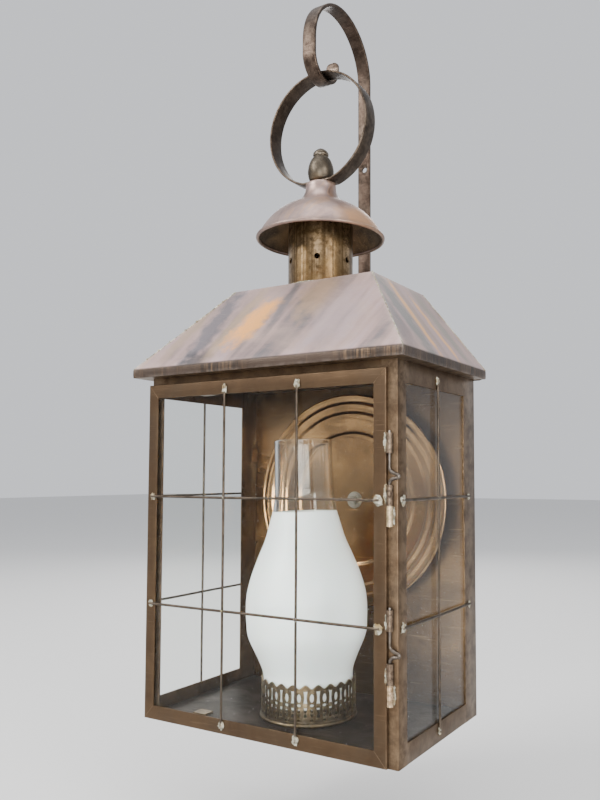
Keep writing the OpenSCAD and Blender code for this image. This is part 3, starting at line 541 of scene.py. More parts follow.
MATERIALS = {
    "frame_copper": old_metal("frame_copper", (0.088, 0.054, 0.029), (0.056, 0.034, 0.019),
                              (0.066, 0.049, 0.034), scale=22.0, stain_amount=0.4, specks=0.35,
                              rough=(0.38, 0.54), wear=0.5, bright=(0.24, 0.165, 0.10),
                              scratch=0.16),
    "roof_copper": roof_metal(),
    "cap_copper": cap_metal(),
    "collar_brass": old_metal("collar_brass", (0.13, 0.080, 0.032), (0.045, 0.027, 0.011),
                              (0.085, 0.046, 0.017), scale=46.0, stain_amount=0.8, specks=0.8,
                              rough=(0.28, 0.46), bright=(0.5, 0.35, 0.2)),
    "ring_copper": old_metal("ring_copper", (0.034, 0.022, 0.014), (0.014, 0.009, 0.006),
                             (0.040, 0.030, 0.022), scale=40.0, rough=(0.38, 0.58), wear=0.7,
                             bright=(0.26, 0.20, 0.15)),
    "crook_copper": old_metal("crook_copper", (0.046, 0.029, 0.021), (0.020, 0.013, 0.009),
                              (0.042, 0.032, 0.025), scale=40.0, rough=(0.38, 0.58), wear=0.7,
                              bright=(0.28, 0.21, 0.16)),
    "finial_brass": old_metal("finial_brass", (0.095, 0.078, 0.058), (0.04, 0.032, 0.023),
                              (0.12, 0.085, 0.05), scale=70.0, rough=(0.34, 0.55),
                              bright=(0.38, 0.32, 0.25)),
    "stud_brass": old_metal("stud_brass", (0.42, 0.31, 0.16), (0.20, 0.14, 0.07),
                            (0.26, 0.18, 0.10), scale=70.0, rough=(0.28, 0.45)),
    # floor_copper: its base colours are darkened as painted shade, for the shadow that lies over
    # the lantern's floor inside the box
    "floor_copper": old_metal("floor_copper", (0.028, 0.018, 0.012), (0.010, 0.007, 0.005),
                              (0.060, 0.048, 0.038), scale=34.0, stain_amount=0.6, scratch=0.6,
                              bright=(0.19, 0.16, 0.125), rough=(0.46, 0.68), metallic=0.75),
    "back_copper": old_metal("back_copper", (0.23, 0.135, 0.062), (0.095, 0.055, 0.026),
                             (0.15, 0.096, 0.054), scale=16.0, stain_amount=0.6, specks=0.3,
                             rough=(0.24, 0.40), scratch=0.35, bright=(0.45, 0.30, 0.16)),
    "reflector_copper": old_metal("reflector_copper", (0.40, 0.235, 0.105), (0.15, 0.086, 0.040),
                                  (0.22, 0.14, 0.078), scale=15.0, stain_amount=0.6,
                                  specks=0.25, rough=(0.10, 0.24), scratch=0.35, metallic=1.0,
                                  bright=(0.75, 0.48, 0.22)),
    "bright_steel": plain_surface("bright_steel", (0.36, 0.33, 0.27), 0.34, 160.0, 0.95),
    "bushing_rubber": plain_surface("bushing_rubber", (0.035, 0.033, 0.03), 0.7, 200.0),
    "pane_glass": pane_glass(),
    "guard_wire": old_metal("guard_wire", (0.058, 0.042, 0.031), (0.024, 0.018, 0.013),
                            (0.05, 0.042, 0.033), scale=80.0, rough=(0.38, 0.56),
                            bright=(0.17, 0.135, 0.10)),
    "hinge_metal": old_metal("hinge_metal", (0.062, 0.040, 0.028), (0.026, 0.017, 0.012),
                             (0.095, 0.072, 0.05), scale=90.0, rough=(0.38, 0.6), wear=0.7,
                             bright=(0.22, 0.16, 0.11)),
    "pin_wire": old_metal("pin_wire", (0.11, 0.088, 0.072), (0.045, 0.036, 0.030),
                          (0.09, 0.068, 0.048), scale=120.0, rough=(0.26, 0.45),
                          bright=(0.36, 0.32, 0.28)),
    "catch_brass": plain_surface("catch_brass", (0.15, 0.10, 0.045), 0.42, 90.0, 0.9),
    "gallery_brass": old_metal("gallery_brass", (0.112, 0.074, 0.034), (0.035, 0.024, 0.013),
                               (0.068, 0.053, 0.035), scale=70.0, stain_amount=0.6,
                               rough=(0.30, 0.50), wear=0.8, bright=(0.42, 0.33, 0.20)),
    "socket_ceramic": plain_surface("socket_ceramic", (0.72, 0.69, 0.62), 0.25, 60.0),
    "bulb_glass": opal_glass(),
    "chimney_glass": opal_glass(),
}
POST_TUBE = old_metal("post_tube_brass", (0.22, 0.14, 0.065), (0.085, 0.052, 0.026),
                      (0.32, 0.27, 0.15), scale=120.0, stain_amount=0.8, specks=0.6,
                      rough=(0.40, 0.62))
CAP_INSIDE = old_metal("cap_inside", (0.13, 0.085, 0.042), (0.05, 0.034, 0.02),
                       (0.16, 0.10, 0.045), scale=40.0, stain_amount=0.6, rough=(0.36, 0.55))
CLEAR_NECK = chimney_clear_glass()
SOLDER = solder()

# ------------------------------------------------------------------ mesh helpers


def wobble(point, scale, seed):
    """A smooth pseudo-random value about 0 at a point in mm."""
    return noise.noise(Vector(point) * scale + Vector((seed, 2.3 * seed, -1.7 * seed)))


def add_object(name, data):
    """A new object in the scene."""
    made = bpy.data.objects.new(name, data)
    bpy.context.scene.collection.objects.link(made)
    return made


def make_mesh(name, points, faces, weld=0.0, collapse=0.0):
    """A mesh from millimetre points; weld and collapse are distances in metres."""
    mesh = bpy.data.meshes.new(name)
    mesh.from_pydata([place(p) for p in points], [], faces)
    work = bmesh.new()
    work.from_mesh(mesh)
    if weld:
        bmesh.ops.remove_doubles(work, verts=work.verts, dist=weld)
    if collapse:
        bmesh.ops.dissolve_degenerate(work, edges=work.edges, dist=collapse)
    bmesh.ops.recalc_face_normals(work, faces=work.faces)
    work.to_mesh(mesh)
    work.free()
    return mesh


def add_piece(name, points, faces, slot, body, stands_for=(), material=None, angle=40.0):
    """Makes a mesh piece from millimetre points, gives it its finish and its body."""
    mesh = make_mesh(name, points, faces, 0.00002, 0.00001)
    mesh.shade_smooth()
    mesh.set_sharp_from_angle(angle=math.radians(angle))
    mesh.materials.append(material or MATERIALS[slot])
    piece = add_object(name, mesh)
    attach(piece, body)
    if stands_for:
        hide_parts(*stands_for)
    return piece


def cut_with(piece, name, points, faces, weld=0.0):
    """Takes a shape, given in millimetre points, out of a piece."""
    cutter = add_object(name, make_mesh(name, points, faces, weld))
    modifier = piece.modifiers.new("cut", "BOOLEAN")
    modifier.operation = "DIFFERENCE"
    modifier.solver = "EXACT"
    modifier.object = cutter
    bpy.context.view_layer.update()
    graph = bpy.context.evaluated_depsgraph_get()
    made = bpy.data.meshes.new_from_object(piece.evaluated_get(graph))
    piece.modifiers.clear()
    piece.data = made
    made.set_sharp_from_angle(angle=math.radians(45))
    bpy.data.objects.remove(cutter)


def grid_faces(rows, columns, wrap_rows=False, wrap_columns=False, first=0):
    """Quads over a grid of points stored row by row."""
    faces = []
    for r in range(rows if wrap_rows else rows - 1):
        for c in range(columns if wrap_columns else columns - 1):
            r2, c2 = (r + 1) % rows, (c + 1) % columns
            faces.append((first + r * columns + c, first + r * columns + c2,
                          first + r2 * columns + c2, first + r2 * columns + c))
    return faces


def end_caps(rows, columns):
    """The two end faces of a grid of points that is closed round."""
    last = (rows - 1) * columns
    return [tuple(range(columns)), tuple(last + k for k in range(columns))]


def lathe_points(profile, axis_x, axis_y, segments, dent=0.0):
    """Points of a profile [(radius, height)] turned round an upright axis."""
    points = []
    for radius, height in profile:
        for k in range(segments):
            a = 2 * math.pi * k / segments
            x, y = math.cos(a), math.sin(a)
            pushed = radius
            if dent and radius > 1:
                spot = (axis_x + radius * x, axis_y + radius * y, height)
                pushed += dent * wobble(spot, 0.05, 1.0)
            points.append((axis_x + pushed * x, axis_y + pushed * y, height))
    return points


def lathe(name, profile, axis, segments, slot, body, closed=True, dent=0.0, angle=40.0, **more):
    """A turned piece: a closed profile makes a shell, an open one runs to the axis."""
    points = lathe_points(profile, axis[0], axis[1], segments, dent)
    faces = grid_faces(len(profile), segments, wrap_rows=closed, wrap_columns=True)
    return add_piece(name, points, faces, slot, body, angle=angle, **more)


def arc_points(centre, radius, start, end, steps):
    """Points along an arc in a plane, angles in degrees."""
    made = []
    for i in range(steps + 1):
        a = math.radians(start + (end - start) * i / steps)
        made.append((centre[0] + radius * math.cos(a), centre[1] + radius * math.sin(a)))
    return made


def line(start, end, steps):
    """Evenly spaced points from start to end."""
    return [start.lerp(end, i / steps) for i in range(steps + 1)]


def curve_through(stations, steps):
    """A smooth curve through the stations, steps points between each two."""
    made = []
    last = len(stations) - 1
    for i in range(last):
        a, b = Vector(stations[max(i - 1, 0)]), Vector(stations[i])
        c, d = Vector(stations[i + 1]), Vector(stations[min(i + 2, last)])
        for j in range(steps):
            t = j / steps
            made.append(0.5 * (2 * b + (c - a) * t + (2 * a - 5 * b + 4 * c - d) * t * t
                               + (3 * b - a - 3 * c + d) * t ** 3))
    made.append(Vector(stations[-1]))
    return made


def rounded_section(width, thickness, radius, steps=3):
    """The outline of a flat strap with rounded edges, about its centre."""
    w, t = width / 2 - radius, thickness / 2 - radius
    made = []
    for cx, cy, start in ((w, t, 0), (-w, t, 90), (-w, -t, 180), (w, -t, 270)):
        made += arc_points((cx, cy), radius, start, start + 90, steps)
    return made


def tube_along(path, radius, sides=14, swell=None):
    """Points and faces of a round wire along a path in mm, with blunt closed ends."""
    points = []
    path = [Vector(p) for p in path]
    tangent = (path[1] - path[0]).normalized()
    side = tangent.orthogonal().normalized()
    for i, here in enumerate(path):
        ahead = path[min(i + 1, len(path) - 1)] - path[max(i - 1, 0)]
        turn = tangent.rotation_difference(ahead.normalized())
        side = (turn @ side).normalized()
        tangent = ahead.normalized()
        up = tangent.cross(side)
        r = radius * (swell(i / (len(path) - 1)) if swell else 1.0)
        for k in range(sides):
            a = 2 * math.pi * k / sides
            points.append(here + r * (math.cos(a) * side + math.sin(a) * up))
    faces = grid_faces(len(path), sides, wrap_columns=True)
    for end, outward in ((0, -1), (len(path) - 1, 1)):
        tip = len(points)
        away = (path[1] - path[0]) if end == 0 else (path[-1] - path[-2])
        points.append(path[end] + away.normalized() * outward * radius * 0.35)
        for k in range(sides):
            faces.append((end * sides + k, end * sides + (k + 1) % sides, tip))
    return points, faces


def merge(parts):
    """Several (points, faces) pairs as one."""
    points, faces = [], []
    for p, f in parts:
        faces += [tuple(i + len(points) for i in face) for face in f]
        points += p
    return points, faces


def add_parts(name, parts, *settings, **more):
    """Several (points, faces) pairs as one piece."""
    return add_piece(name, *merge(parts), *settings, **more)


def blob(centre, size, seed, rings, sides):
    """A lump of solder about a centre, with its own uneven outline."""
    points = []
    for r in range(rings + 1):
        polar = math.pi * r / rings
        for k in range(sides):
            a = 2 * math.pi * k / sides
            way = Vector((math.sin(polar) * math.cos(a), math.sin(polar) * math.sin(a),
                          math.cos(polar)))
            rough = 1 + 0.7 * noise.noise(way * 1.9 + Vector((seed, seed * 1.9, 0.3)))
            rough += 0.35 * noise.noise(way * 5.5 + Vector((seed * 0.7, 1.1, seed)))
            points.append(Vector(centre) + Vector([way[i] * size[i] * rough for i in range(3)]))
    return points, grid_faces(rings + 1, sides, wrap_columns=True)


def rect_loop(x0, x1, v0, v1, counts):
    """Points round a rectangle, corners included: [(x, v)], with counts of steps per side."""
    made = []
    corners = [(x0, v0), (x1, v0), (x1, v1), (x0, v1)]
    for i, n in enumerate(counts):
        a, b = corners[i], corners[(i + 1) % 4]
        for j in range(n):
            made.append((a[0] + (b[0] - a[0]) * j / n, a[1] + (b[1] - a[1]) * j / n))
    return made


# ------------------------------------------------------------------ crook and ring


def strap(name, path, across, width, thickness, slot, body, closed=False, stands_for=(),
          tip=()):
    """A flat strap along a plane path; across is the unit vector along its width.

    tip holds the shares of the full width that the last sections narrow to."""
    section = rounded_section(width, thickness, 0.32 * thickness)
    count = len(path)
    points = []
    for i in range(count):
        before = path[(i - 1) % count] if closed else path[max(i - 1, 0)]
        after = path[(i + 1) % count] if closed else path[min(i + 1, count - 1)]
        along = (after - before).normalized()
        out = along.cross(across).normalized()
        waver = 0.12 * wobble(path[i], 0.03, 4.0)
        left = count - 1 - i
        share = tip[len(tip) - 1 - left] if left < len(tip) else 1.0
        for u, v in section:
            points.append(path[i] + across * u * share + out * (v + waver))
    faces = grid_faces(count, len(section), wrap_rows=closed, wrap_columns=True)
    if not closed:
        faces += end_caps(count, len(section))
    return add_piece(name, points, faces, slot, body, stands_for, angle=50.0)


def build_crook():
    low, high = local_box("wall_crook")
    t, width, hook_inner_r = 3.0, 12.7, 17.0
    screw_rises = (18.0, 168.0)
    strap_y = high.y - t / 2
    arm_y = VENT_Y - hook_inner_r - t / 2
    arch_r = (strap_y - arm_y) / 2
    arch_y = (strap_y + arm_y) / 2
    arch_z = high.z - t / 2 - arch_r
    hook_z = arch_z - 12.0
    hook_r = hook_inner_r + t / 2
    leg = 36
    path = [(strap_y, low.z + (arch_z - low.z) * i / leg) for i in range(leg)]
    path += arc_points((arch_y, arch_z), arch_r, 0, 180, 56)
    path += [(arm_y, arch_z - 4.0), (arm_y, arch_z - 8.0)]
    path += arc_points((VENT_Y, hook_z), hook_r, 180, 360, 44)
    rounding = (0.0, 1.4, 2.8, 4.2, 5.4, 6.3, 6.8)
    path += [(VENT_Y + hook_r, hook_z + rise) for rise in rounding]
    points = [Vector((0, y, z)) for y, z in path]
    crook = strap("crook_strap", points, Vector((1, 0, 0)), width, t, "crook_copper", "crook",
                  stands_for=["wall_crook"], tip=(0.99, 0.94, 0.84, 0.68, 0.42))
    # the two screw holes, countersunk from the front
    outline = [(0.01, -5), (2.5, -5), (2.5, 0.2), (5.2, 2.6), (5.2, 5), (0.01, 5)]
    sides = 40
    faces = grid_faces(len(outline), sides, wrap_columns=True) + end_caps(len(outline), sides)
    turn = Matrix.Rotation(math.radians(90), 3, "X")
    for k, dz in enumerate(screw_rises):
        points = [turn @ Vector(p) + Vector((0, strap_y, low.z + dz))
                  for p in lathe_points(outline, 0, 0, sides)]
        cut_with(crook, f"screw_hole_cutter_{k}", points, faces, 0.00003)


def build_ring():
    t, width = 1.8, RING_HIGH.y - RING_LOW.y
    mean_r = (RING_HIGH.x - RING_LOW.x - t) / 2
    centre_z = RING_HIGH.z - mean_r - t / 2
    foot_z = RING_LOW.z + t / 2
    foot_half = 14.0
    drop = math.degrees(math.acos((centre_z - foot_z) / mean_r))
    arc = arc_points((0, centre_z), mean_r, -90 + drop, 270 - drop, 150)
    foot = [(-foot_half + 2 * foot_half * i / 10, foot_z) for i in range(1, 10)]
    path = [Vector((x, VENT_Y, z)) for x, z in arc + foot]
    strap("carrying_ring", path, Vector((0, 1, 0)), width, t, "ring_copper", "lantern",
          closed=True, stands_for=["ring_handle"])


def build_finial():
    low, high = local_box("finial_nut")
    h, r = high.z - low.z, (high.x - low.x) / 2
    body = curve_through([(0.66, 0.0), (0.88, 0.07), (0.99, 0.22), (0.99, 0.36), (0.90, 0.52),
                          (0.76, 0.645), (0.66, 0.70)], 7)
    neck = curve_through([(0.60, 0.725), (0.53, 0.735), (0.53, 0.765), (0.58, 0.775)], 3)
    crown = curve_through([(0.61, 0.80), (0.57, 0.865), (0.42, 0.93), (0.2, 0.985), (0.02, 1.0)], 6)
    profile = [(0.02 * r, low.z)] + [(p[0] * r, low.z + p[1] * h) for p in body + neck + crown]
    lathe("acorn_finial", profile, (0, VENT_Y), 72, "finial_brass", "lantern", closed=False,
          stands_for=["finial_nut"], dent=0.15)


# ------------------------------------------------------------------ cap and roof


def build_cap():
    """The ogee bell with its rolled rim, as one thin shell."""
    bead = 1.5
    rim_z = CAP_LOW.z + bead
    rim_r = (CAP_HIGH.x - CAP_LOW.x) / 2
    neck_r, flare_r, crown_r, join = 13.0, 17.0, 55.0, 22.0
    join_sin, join_cos = math.sin(math.radians(join)), math.cos(math.radians(join))
    low_x = neck_r + flare_r * (1 - join_sin) - crown_r * join_sin
    rim_angle = math.degrees(math.acos((rim_r - bead - low_x) / crown_r))
    low_z = rim_z - crown_r * math.sin(math.radians(rim_angle))
    high_x, high_z = neck_r + flare_r, low_z + (crown_r + flare_r) * join_cos
    outer = arc_points((low_x, low_z), crown_r, rim_angle + 1.0, 90 - join, 36)
    outer += arc_points((high_x, high_z), flare_r, 270 - join, 180, 26)[1:]
    outer += [(neck_r, CAP_HIGH.z - 0.6), (neck_r - 0.5, CAP_HIGH.z), (3.0, CAP_HIGH.z)]
    inner = [(3.0, CAP_HIGH.z - SHEET), (neck_r - SHEET, CAP_HIGH.z - SHEET)]
    inner += arc_points((high_x, high_z), flare_r + SHEET, 180, 270 - join, 20)
    inner += arc_points((low_x, low_z), crown_r - SHEET, 90 - join, rim_angle + 1.0, 30)[1:]
    roll = arc_points((rim_r - bead, rim_z), bead, 215, 445, 18)
    cap = lathe("ogee_cap", outer + inner + roll, (0, VENT_Y), 144, "cap_copper", "lantern",
                stands_for=["vent_cap"], dent=0.35, angle=50.0)
    cap.data.materials.append(CAP_INSIDE)
    axis = place((0, VENT_Y, 0))
    for face in cap.data.polygons:
        inward = face.normal.x * (face.center.x - axis.x) + face.normal.y * (face.center.y - axis.y)
        if face.normal.z < -0.05 and inward < 0:
            face.material_index = 1


def build_roof():
    """One folded sheet: hem, fascia, four slopes (the back is upright) and the flat top."""
    side, front = ROOF_HIGH.x, ROOF_LOW.y
    counts = (64, 40, 48, 40)
    top_half, top_front = side - ROOF_RUN_SIDE, front + ROOF_RUN_FRONT
    stations = [
        (-2.2, BODY_H + 1.6), (-1.5, BODY_H + 0.35), (-0.5, BODY_H), (-0.1, BODY_H + 0.5),
        (0.0, BODY_H + 2.5), (0.0, FASCIA_TOP - 1.6), (-0.15, FASCIA_TOP - 0.6),
        (-0.7, FASCIA_TOP + 0.15)]
    loops = []
    loops += [(side + out, front - out, z) for out, z in stations]
    rows = 22
    for i in range(1, rows + 1):
        share = i / rows
        loops.append((side - ROOF_RUN_SIDE * share, front + ROOF_RUN_FRONT * share,
                      FASCIA_TOP + (ROOF_HIGH.z - SHEET - FASCIA_TOP) * share + SHEET * share))
    points = []
    for n, (half, y0, z) in enumerate(loops):
        slope = n >= len(stations)
        share = (n - len(stations) + 1) / rows if slope else 0.0
        belly = math.sin(math.pi * share)
        for x, y in rect_loop(-half, half, y0, BODY_D, counts):
            sag = 0.0
            if slope and share < 1 and y < BODY_D - 0.5:
                sag = belly * (0.9 * wobble((x, y, z), 0.022, 3.0) - 0.55)
            edge = 0.35 * wobble((x, y, z), 0.05, 8.0) if not slope else 0.0
            if y > BODY_D - 0.01:
                edge = 0.0
            points.append((x, y, z + sag + (edge if n > 2 else 0.0)))
    columns = sum(counts)
    # the flat top closes in to the collar
    ring_r = COLLAR_R + 0.4
    rect = rect_loop(-top_half, top_half, top_front, BODY_D, counts)
    for share in (0.12, 0.45, 0.8, 1.0):
        for x, y in rect:
            a = math.atan2(y - VENT_Y, x)
            cx, cy = ring_r * math.cos(a), VENT_Y + ring_r * math.sin(a)
            points.append((x + (cx - x) * share, y + (cy - y) * share, ROOF_HIGH.z))
    rows_total = len(loops) + 4
    roof = add_piece("hipped_roof", points, grid_faces(rows_total, columns, wrap_columns=True),
                     "roof_copper", "lantern", ["roof_shell"], angle=24.0)
    thick = roof.modifiers.new("sheet", "SOLIDIFY")
    thick.thickness = SHEET * MM
    thick.offset = -1.0
    # bright soldered hips, with runs of solder at their ends
    def uneven(share):
        return 0.8 + 0.5 * noise.noise(Vector((share * 23, 0.4, 1.2)))

    seams = []
    for sign in (-1, 1):
        start = Vector((sign * (side - 0.3), front + 0.3, FASCIA_TOP - 0.1))
        end = Vector((sign * top_half, top_front, ROOF_HIGH.z - 0.1))
        seams.append(tube_along(line(start, end, 40), 0.55, 10, uneven))
        back_low = Vector((sign * (side - 0.3), BODY_D - 0.5, FASCIA_TOP))
        back_high = Vector((sign * top_half, BODY_D - 0.5, ROOF_HIGH.z - 0.2))
        seams.append(tube_along(line(back_low, back_high, 30), 0.5, 10))
    for k in range(7):
        share = (k * 0.37 + 0.13) % 1.0
        spot = Vector((-side, front, FASCIA_TOP)).lerp(
            Vector((-top_half, top_front, ROOF_HIGH.z)), share)
        seams.append(blob(spot, (1.1, 1.0, 0.7), 3.0 + k, 6, 9))
    add_parts("roof_solder_seams", seams, "roof_copper", "lantern", material=SOLDER)
    # fillet of solder round the collar's foot
    foot = [(COLLAR_R + 0.1, ROOF_HIGH.z + 1.5), (COLLAR_R + 0.7, ROOF_HIGH.z + 1.0),
            (COLLAR_R + 2.0, ROOF_HIGH.z + 0.9), (COLLAR_R + 2.4, ROOF_HIGH.z + 0.1),
            (COLLAR_R + 0.1, ROOF_HIGH.z + 0.05)]
    lathe("collar_solder", foot, (0, VENT_Y), 96, "roof_copper", "lantern", material=SOLDER,
          dent=0.5)
    seam = []
    for i in range(19):
        z = ROOF_HIGH.z + 1 + (COLLAR_HIGH.z - ROOF_HIGH.z - 2) * i / 18
        seam.append((COLLAR_R * math.cos(math.radians(-35)) + 0.1,
                     VENT_Y + COLLAR_R * math.sin(math.radians(-35)) - 0.1, z))
    add_piece("collar_lap_seam", *tube_along(seam, 0.45, 8), "collar_brass", "lantern")


# ------------------------------------------------------------------ box


def folded_angle(name, corner, wide, deep, z0, z1, t, slot, node):
    """An angle post: a strip folded along its length, with a rounded fold."""
    sx = 1 if corner[0] < 0 else -1
    sy = 1 if corner[1] < BODY_D / 2 else -1
    x, y = corner
    fold = 1.1
    outline = [(wide, 0), (fold, 0), (fold * 0.3, fold * 0.3), (0, fold), (0, deep), (t, deep),
               (t, fold + 0.1), (t * 1.05, t * 1.05), (fold + 0.1, t), (wide, t)]
    rows = 26
    points = []
    for i in range(rows + 1):
        z = z0 + (z1 - z0) * i / rows
        for u, v in outline:
            p = (x + sx * u, y + sy * v, z)
            bow = 0.16 * wobble(p, 0.018, 6.0)
            points.append((p[0], p[1] + bow * (1 if 0 < i < rows else 0) * 0.5, z))
    faces = grid_faces(rows + 1, len(outline), wrap_columns=True)
    faces += end_caps(rows + 1, len(outline))
    add_piece(name, points, faces, slot, "lantern", [node], angle=28.0)


def strip(name, node):
    """A flat frame strip with softened edges in the place of its CAD node."""
    round_by = 0.3
    low, high = local_box(node)
    size = high - low
    axis = max(range(3), key=lambda i: size[i])
    others = [i for i in range(3) if i != axis]
    centre = (low + high) / 2
    section = rounded_section(size[others[0]], size[others[1]], min(round_by, min(size) * 0.4), 2)
    rows = 24
    points = []
    for i in range(rows + 1):
        for u, v in section:
            p = [0.0, 0.0, 0.0]
            p[axis] = low[axis] + size[axis] * i / rows
            p[others[0]] = centre[others[0]] + u
            p[others[1]] = centre[others[1]] + v
            points.append(tuple(p))
    faces = grid_faces(rows + 1, len(section), wrap_columns=True)
    faces += end_caps(rows + 1, len(section))
    add_piece(name, points, faces, "frame_copper", "lantern", [node])


def sheet_panel(name, node, slot, wave, seed, body="lantern"):
    """A thin sheet or pane in its CAD node's place, faintly uneven, edges softened."""
    round_by, n = 0.25, 26
    low, high = local_box(node)
    size = high - low
    thin = min(range(3), key=lambda i: size[i])
    a, b = [i for i in range(3) if i != thin]
    centre = (low + high) / 2
    half = size[thin] / 2
    layers = [(-half, round_by), (-half + round_by, 0.0), (half - round_by, 0.0), (half, round_by)]
    points, faces = [], []
    for depth, inset in ((-half, round_by), (half, round_by)):
        first = len(points)
        for i in range(n + 1):
            for j in range(n + 1):
                p = [0.0, 0.0, 0.0]
                p[a] = low[a] + inset + (size[a] - 2 * inset) * i / n
                p[b] = low[b] + inset + (size[b] - 2 * inset) * j / n
                inside = math.sin(math.pi * i / n) * math.sin(math.pi * j / n)
                p[thin] = centre[thin] + depth + wave * inside * wobble(p, 0.02, seed)
                points.append(tuple(p))
        faces += grid_faces(n + 1, n + 1, first=first)
    faces += grid_faces(len(layers), 4 * n, wrap_columns=True, first=len(points))
    for depth, inset in layers:
        for u, v in rect_loop(low[a] + inset, high[a] - inset, low[b] + inset, high[b] - inset,
                              (n,) * 4):
            p = [0.0, 0.0, 0.0]
            p[a], p[b], p[thin] = u, v, centre[thin] + depth
            points.append(tuple(p))
    return add_piece(name, points, faces, slot, body, [node], angle=30.0)


def build_box():
    t = 1.0
    rear_deep = BODY_D - REAR_FLANGE_Y
    for label, x in (("left", -HALF_W), ("right", HALF_W)):
        folded_angle(f"front_{label}_angle", (x, 0), FLANGE, FLANGE, 0, BODY_H, t,
                     "frame_copper", f"front_{label}_post")
        folded_angle(f"rear_{label}_angle", (x, BODY_D), FLANGE, rear_deep, 0, BODY_H, t,
                     "frame_copper", f"rear_{label}_post")
        strip(f"{label}_upper_strip", f"{label}_top_rail")
        strip(f"{label}_lower_strip", f"{label}_bottom_rail")
        sheet_panel(f"{label}_pane", f"{label}_glass", "pane_glass", 0.12,
                    11.0 if x < 0 else 17.0)
    strip("head_strip", "front_header")
    strip("foot_strip", "front_sill")
    # the floor sheet takes floor_copper, whose colours are darkened as painted shade
    sheet_panel("floor_sheet", "floor_pan", "floor_copper", 0.7, 5.0)
    back = sheet_panel("back_sheet", "back_panel", "back_copper", 0.9, 9.0)
    bushing_low, bushing_high = local_box("cable_bushing")
    centre = (bushing_low + bushing_high) / 2
    through = tube_along([(centre.x, BODY_D - 6, centre.z), (centre.x, BODY_D + 3, centre.z)],
                         5.0, 40)
    cut_with(back, "bushing_hole_cutter", *through)


# ------------------------------------------------------------------ guard wires


def guard_wire(start, end, radius, seed):
    """A hand-set wire with a slight wander between its soldered ends."""
    start, end = Vector(start), Vector(end)
    path = []
    steps, bow = 40, 0.5
    for i, p in enumerate(line(start, end, steps)):
        hold = math.sin(math.pi * i / steps)
        p.x += bow * hold * wobble(p, 0.012, seed) * (0 if abs(end.x - start.x) > 50 else 1)
        p.z += bow * hold * wobble(p, 0.012, seed + 9) * (0 if abs(end.z - start.z) > 50 else 1)
        path.append(p)
    return tube_along(path, radius, 12)


def build_guard_wires():
    r = WIRE_R
    low, high = local_box("door_guard_wires")
    y = low.y + r
    uprights = [(HALF_W - FLANGE) * k / 3 for k in (-1, 1)]
    wires = [guard_wire((low.x + 0.4, y, z), (high.x - 0.4, y, z), r, 2.0 + z)
             for z in WIRE_LEVELS]
    wires += [guard_wire((x, y + 0.25, low.z), (x, y + 0.25, high.z), 0.95, 4.0 + x)
              for x in uprights]
    add_parts("door_wires", wires, "guard_wire", "door", ["door_guard_wires"])
    dabs = []
    for z in WIRE_LEVELS:
        dabs.append(blob((low.x + 1.4, y + 0.5, z), (2.2, 1.0, 2.6), z, 7, 12))
        dabs.append(blob((high.x - 1.5, y + 0.5, z), (3.6, 1.2, 3.4), z + 5, 7, 12))
    for x in uprights:
        dabs.append(blob((x, y + 0.4, high.z - 1.5), (2.5, 1.1, 3.2), x, 7, 12))
        dabs.append(blob((x, y + 0.4, low.z + 1.5), (2.6, 1.1, 3.4), x + 3, 7, 12))
        dabs += [blob((x, y, z), (1.35, 1.0, 1.35), x + z, 6, 10) for z in WIRE_LEVELS]
    add_parts("door_wire_solder", dabs, "guard_wire", "door", material=SOLDER)
    upright_y = (FLANGE + REAR_FLANGE_Y) / 2
    for label, sign in (("left", -1), ("right", 1)):
        node = f"{label}_guard_wires"
        low, high = local_box(node)
        x = (low.x if sign < 0 else high.x) - sign * r
        inner_x, dab_x = x - sign * 0.25, x - sign * 0.5
        wires = [guard_wire((x, low.y + 0.3, z), (x, high.y - 0.3, z), r, 3.0 + z)
                 for z in WIRE_LEVELS]
        wires.append(guard_wire((inner_x, upright_y, low.z), (inner_x, upright_y, high.z),
                                0.95, 8.0))
        add_parts(f"{label}_wires", wires, "guard_wire", "lantern", [node])
        dabs = []
        for z in WIRE_LEVELS:
            dabs.append(blob((dab_x, low.y + 2.2, z), (1.1, 3.2, 3.6), z + 2, 7, 12))
            dabs.append(blob((dab_x, high.y - 2.0, z), (1.0, 2.4, 2.4), z + 4, 7, 12))
            dabs.append(blob((x, upright_y, z), (1.0, 1.3, 1.3), z + 6, 6, 10))
        for z in (low.z + 1.5, high.z - 1.5):
            dabs.append(blob((dab_x, upright_y, z), (1.0, 2.4, 3.2), z, 7, 12))
        add_parts(f"{label}_wire_solder", dabs, "guard_wire", "lantern", material=SOLDER)


# ------------------------------------------------------------------ door


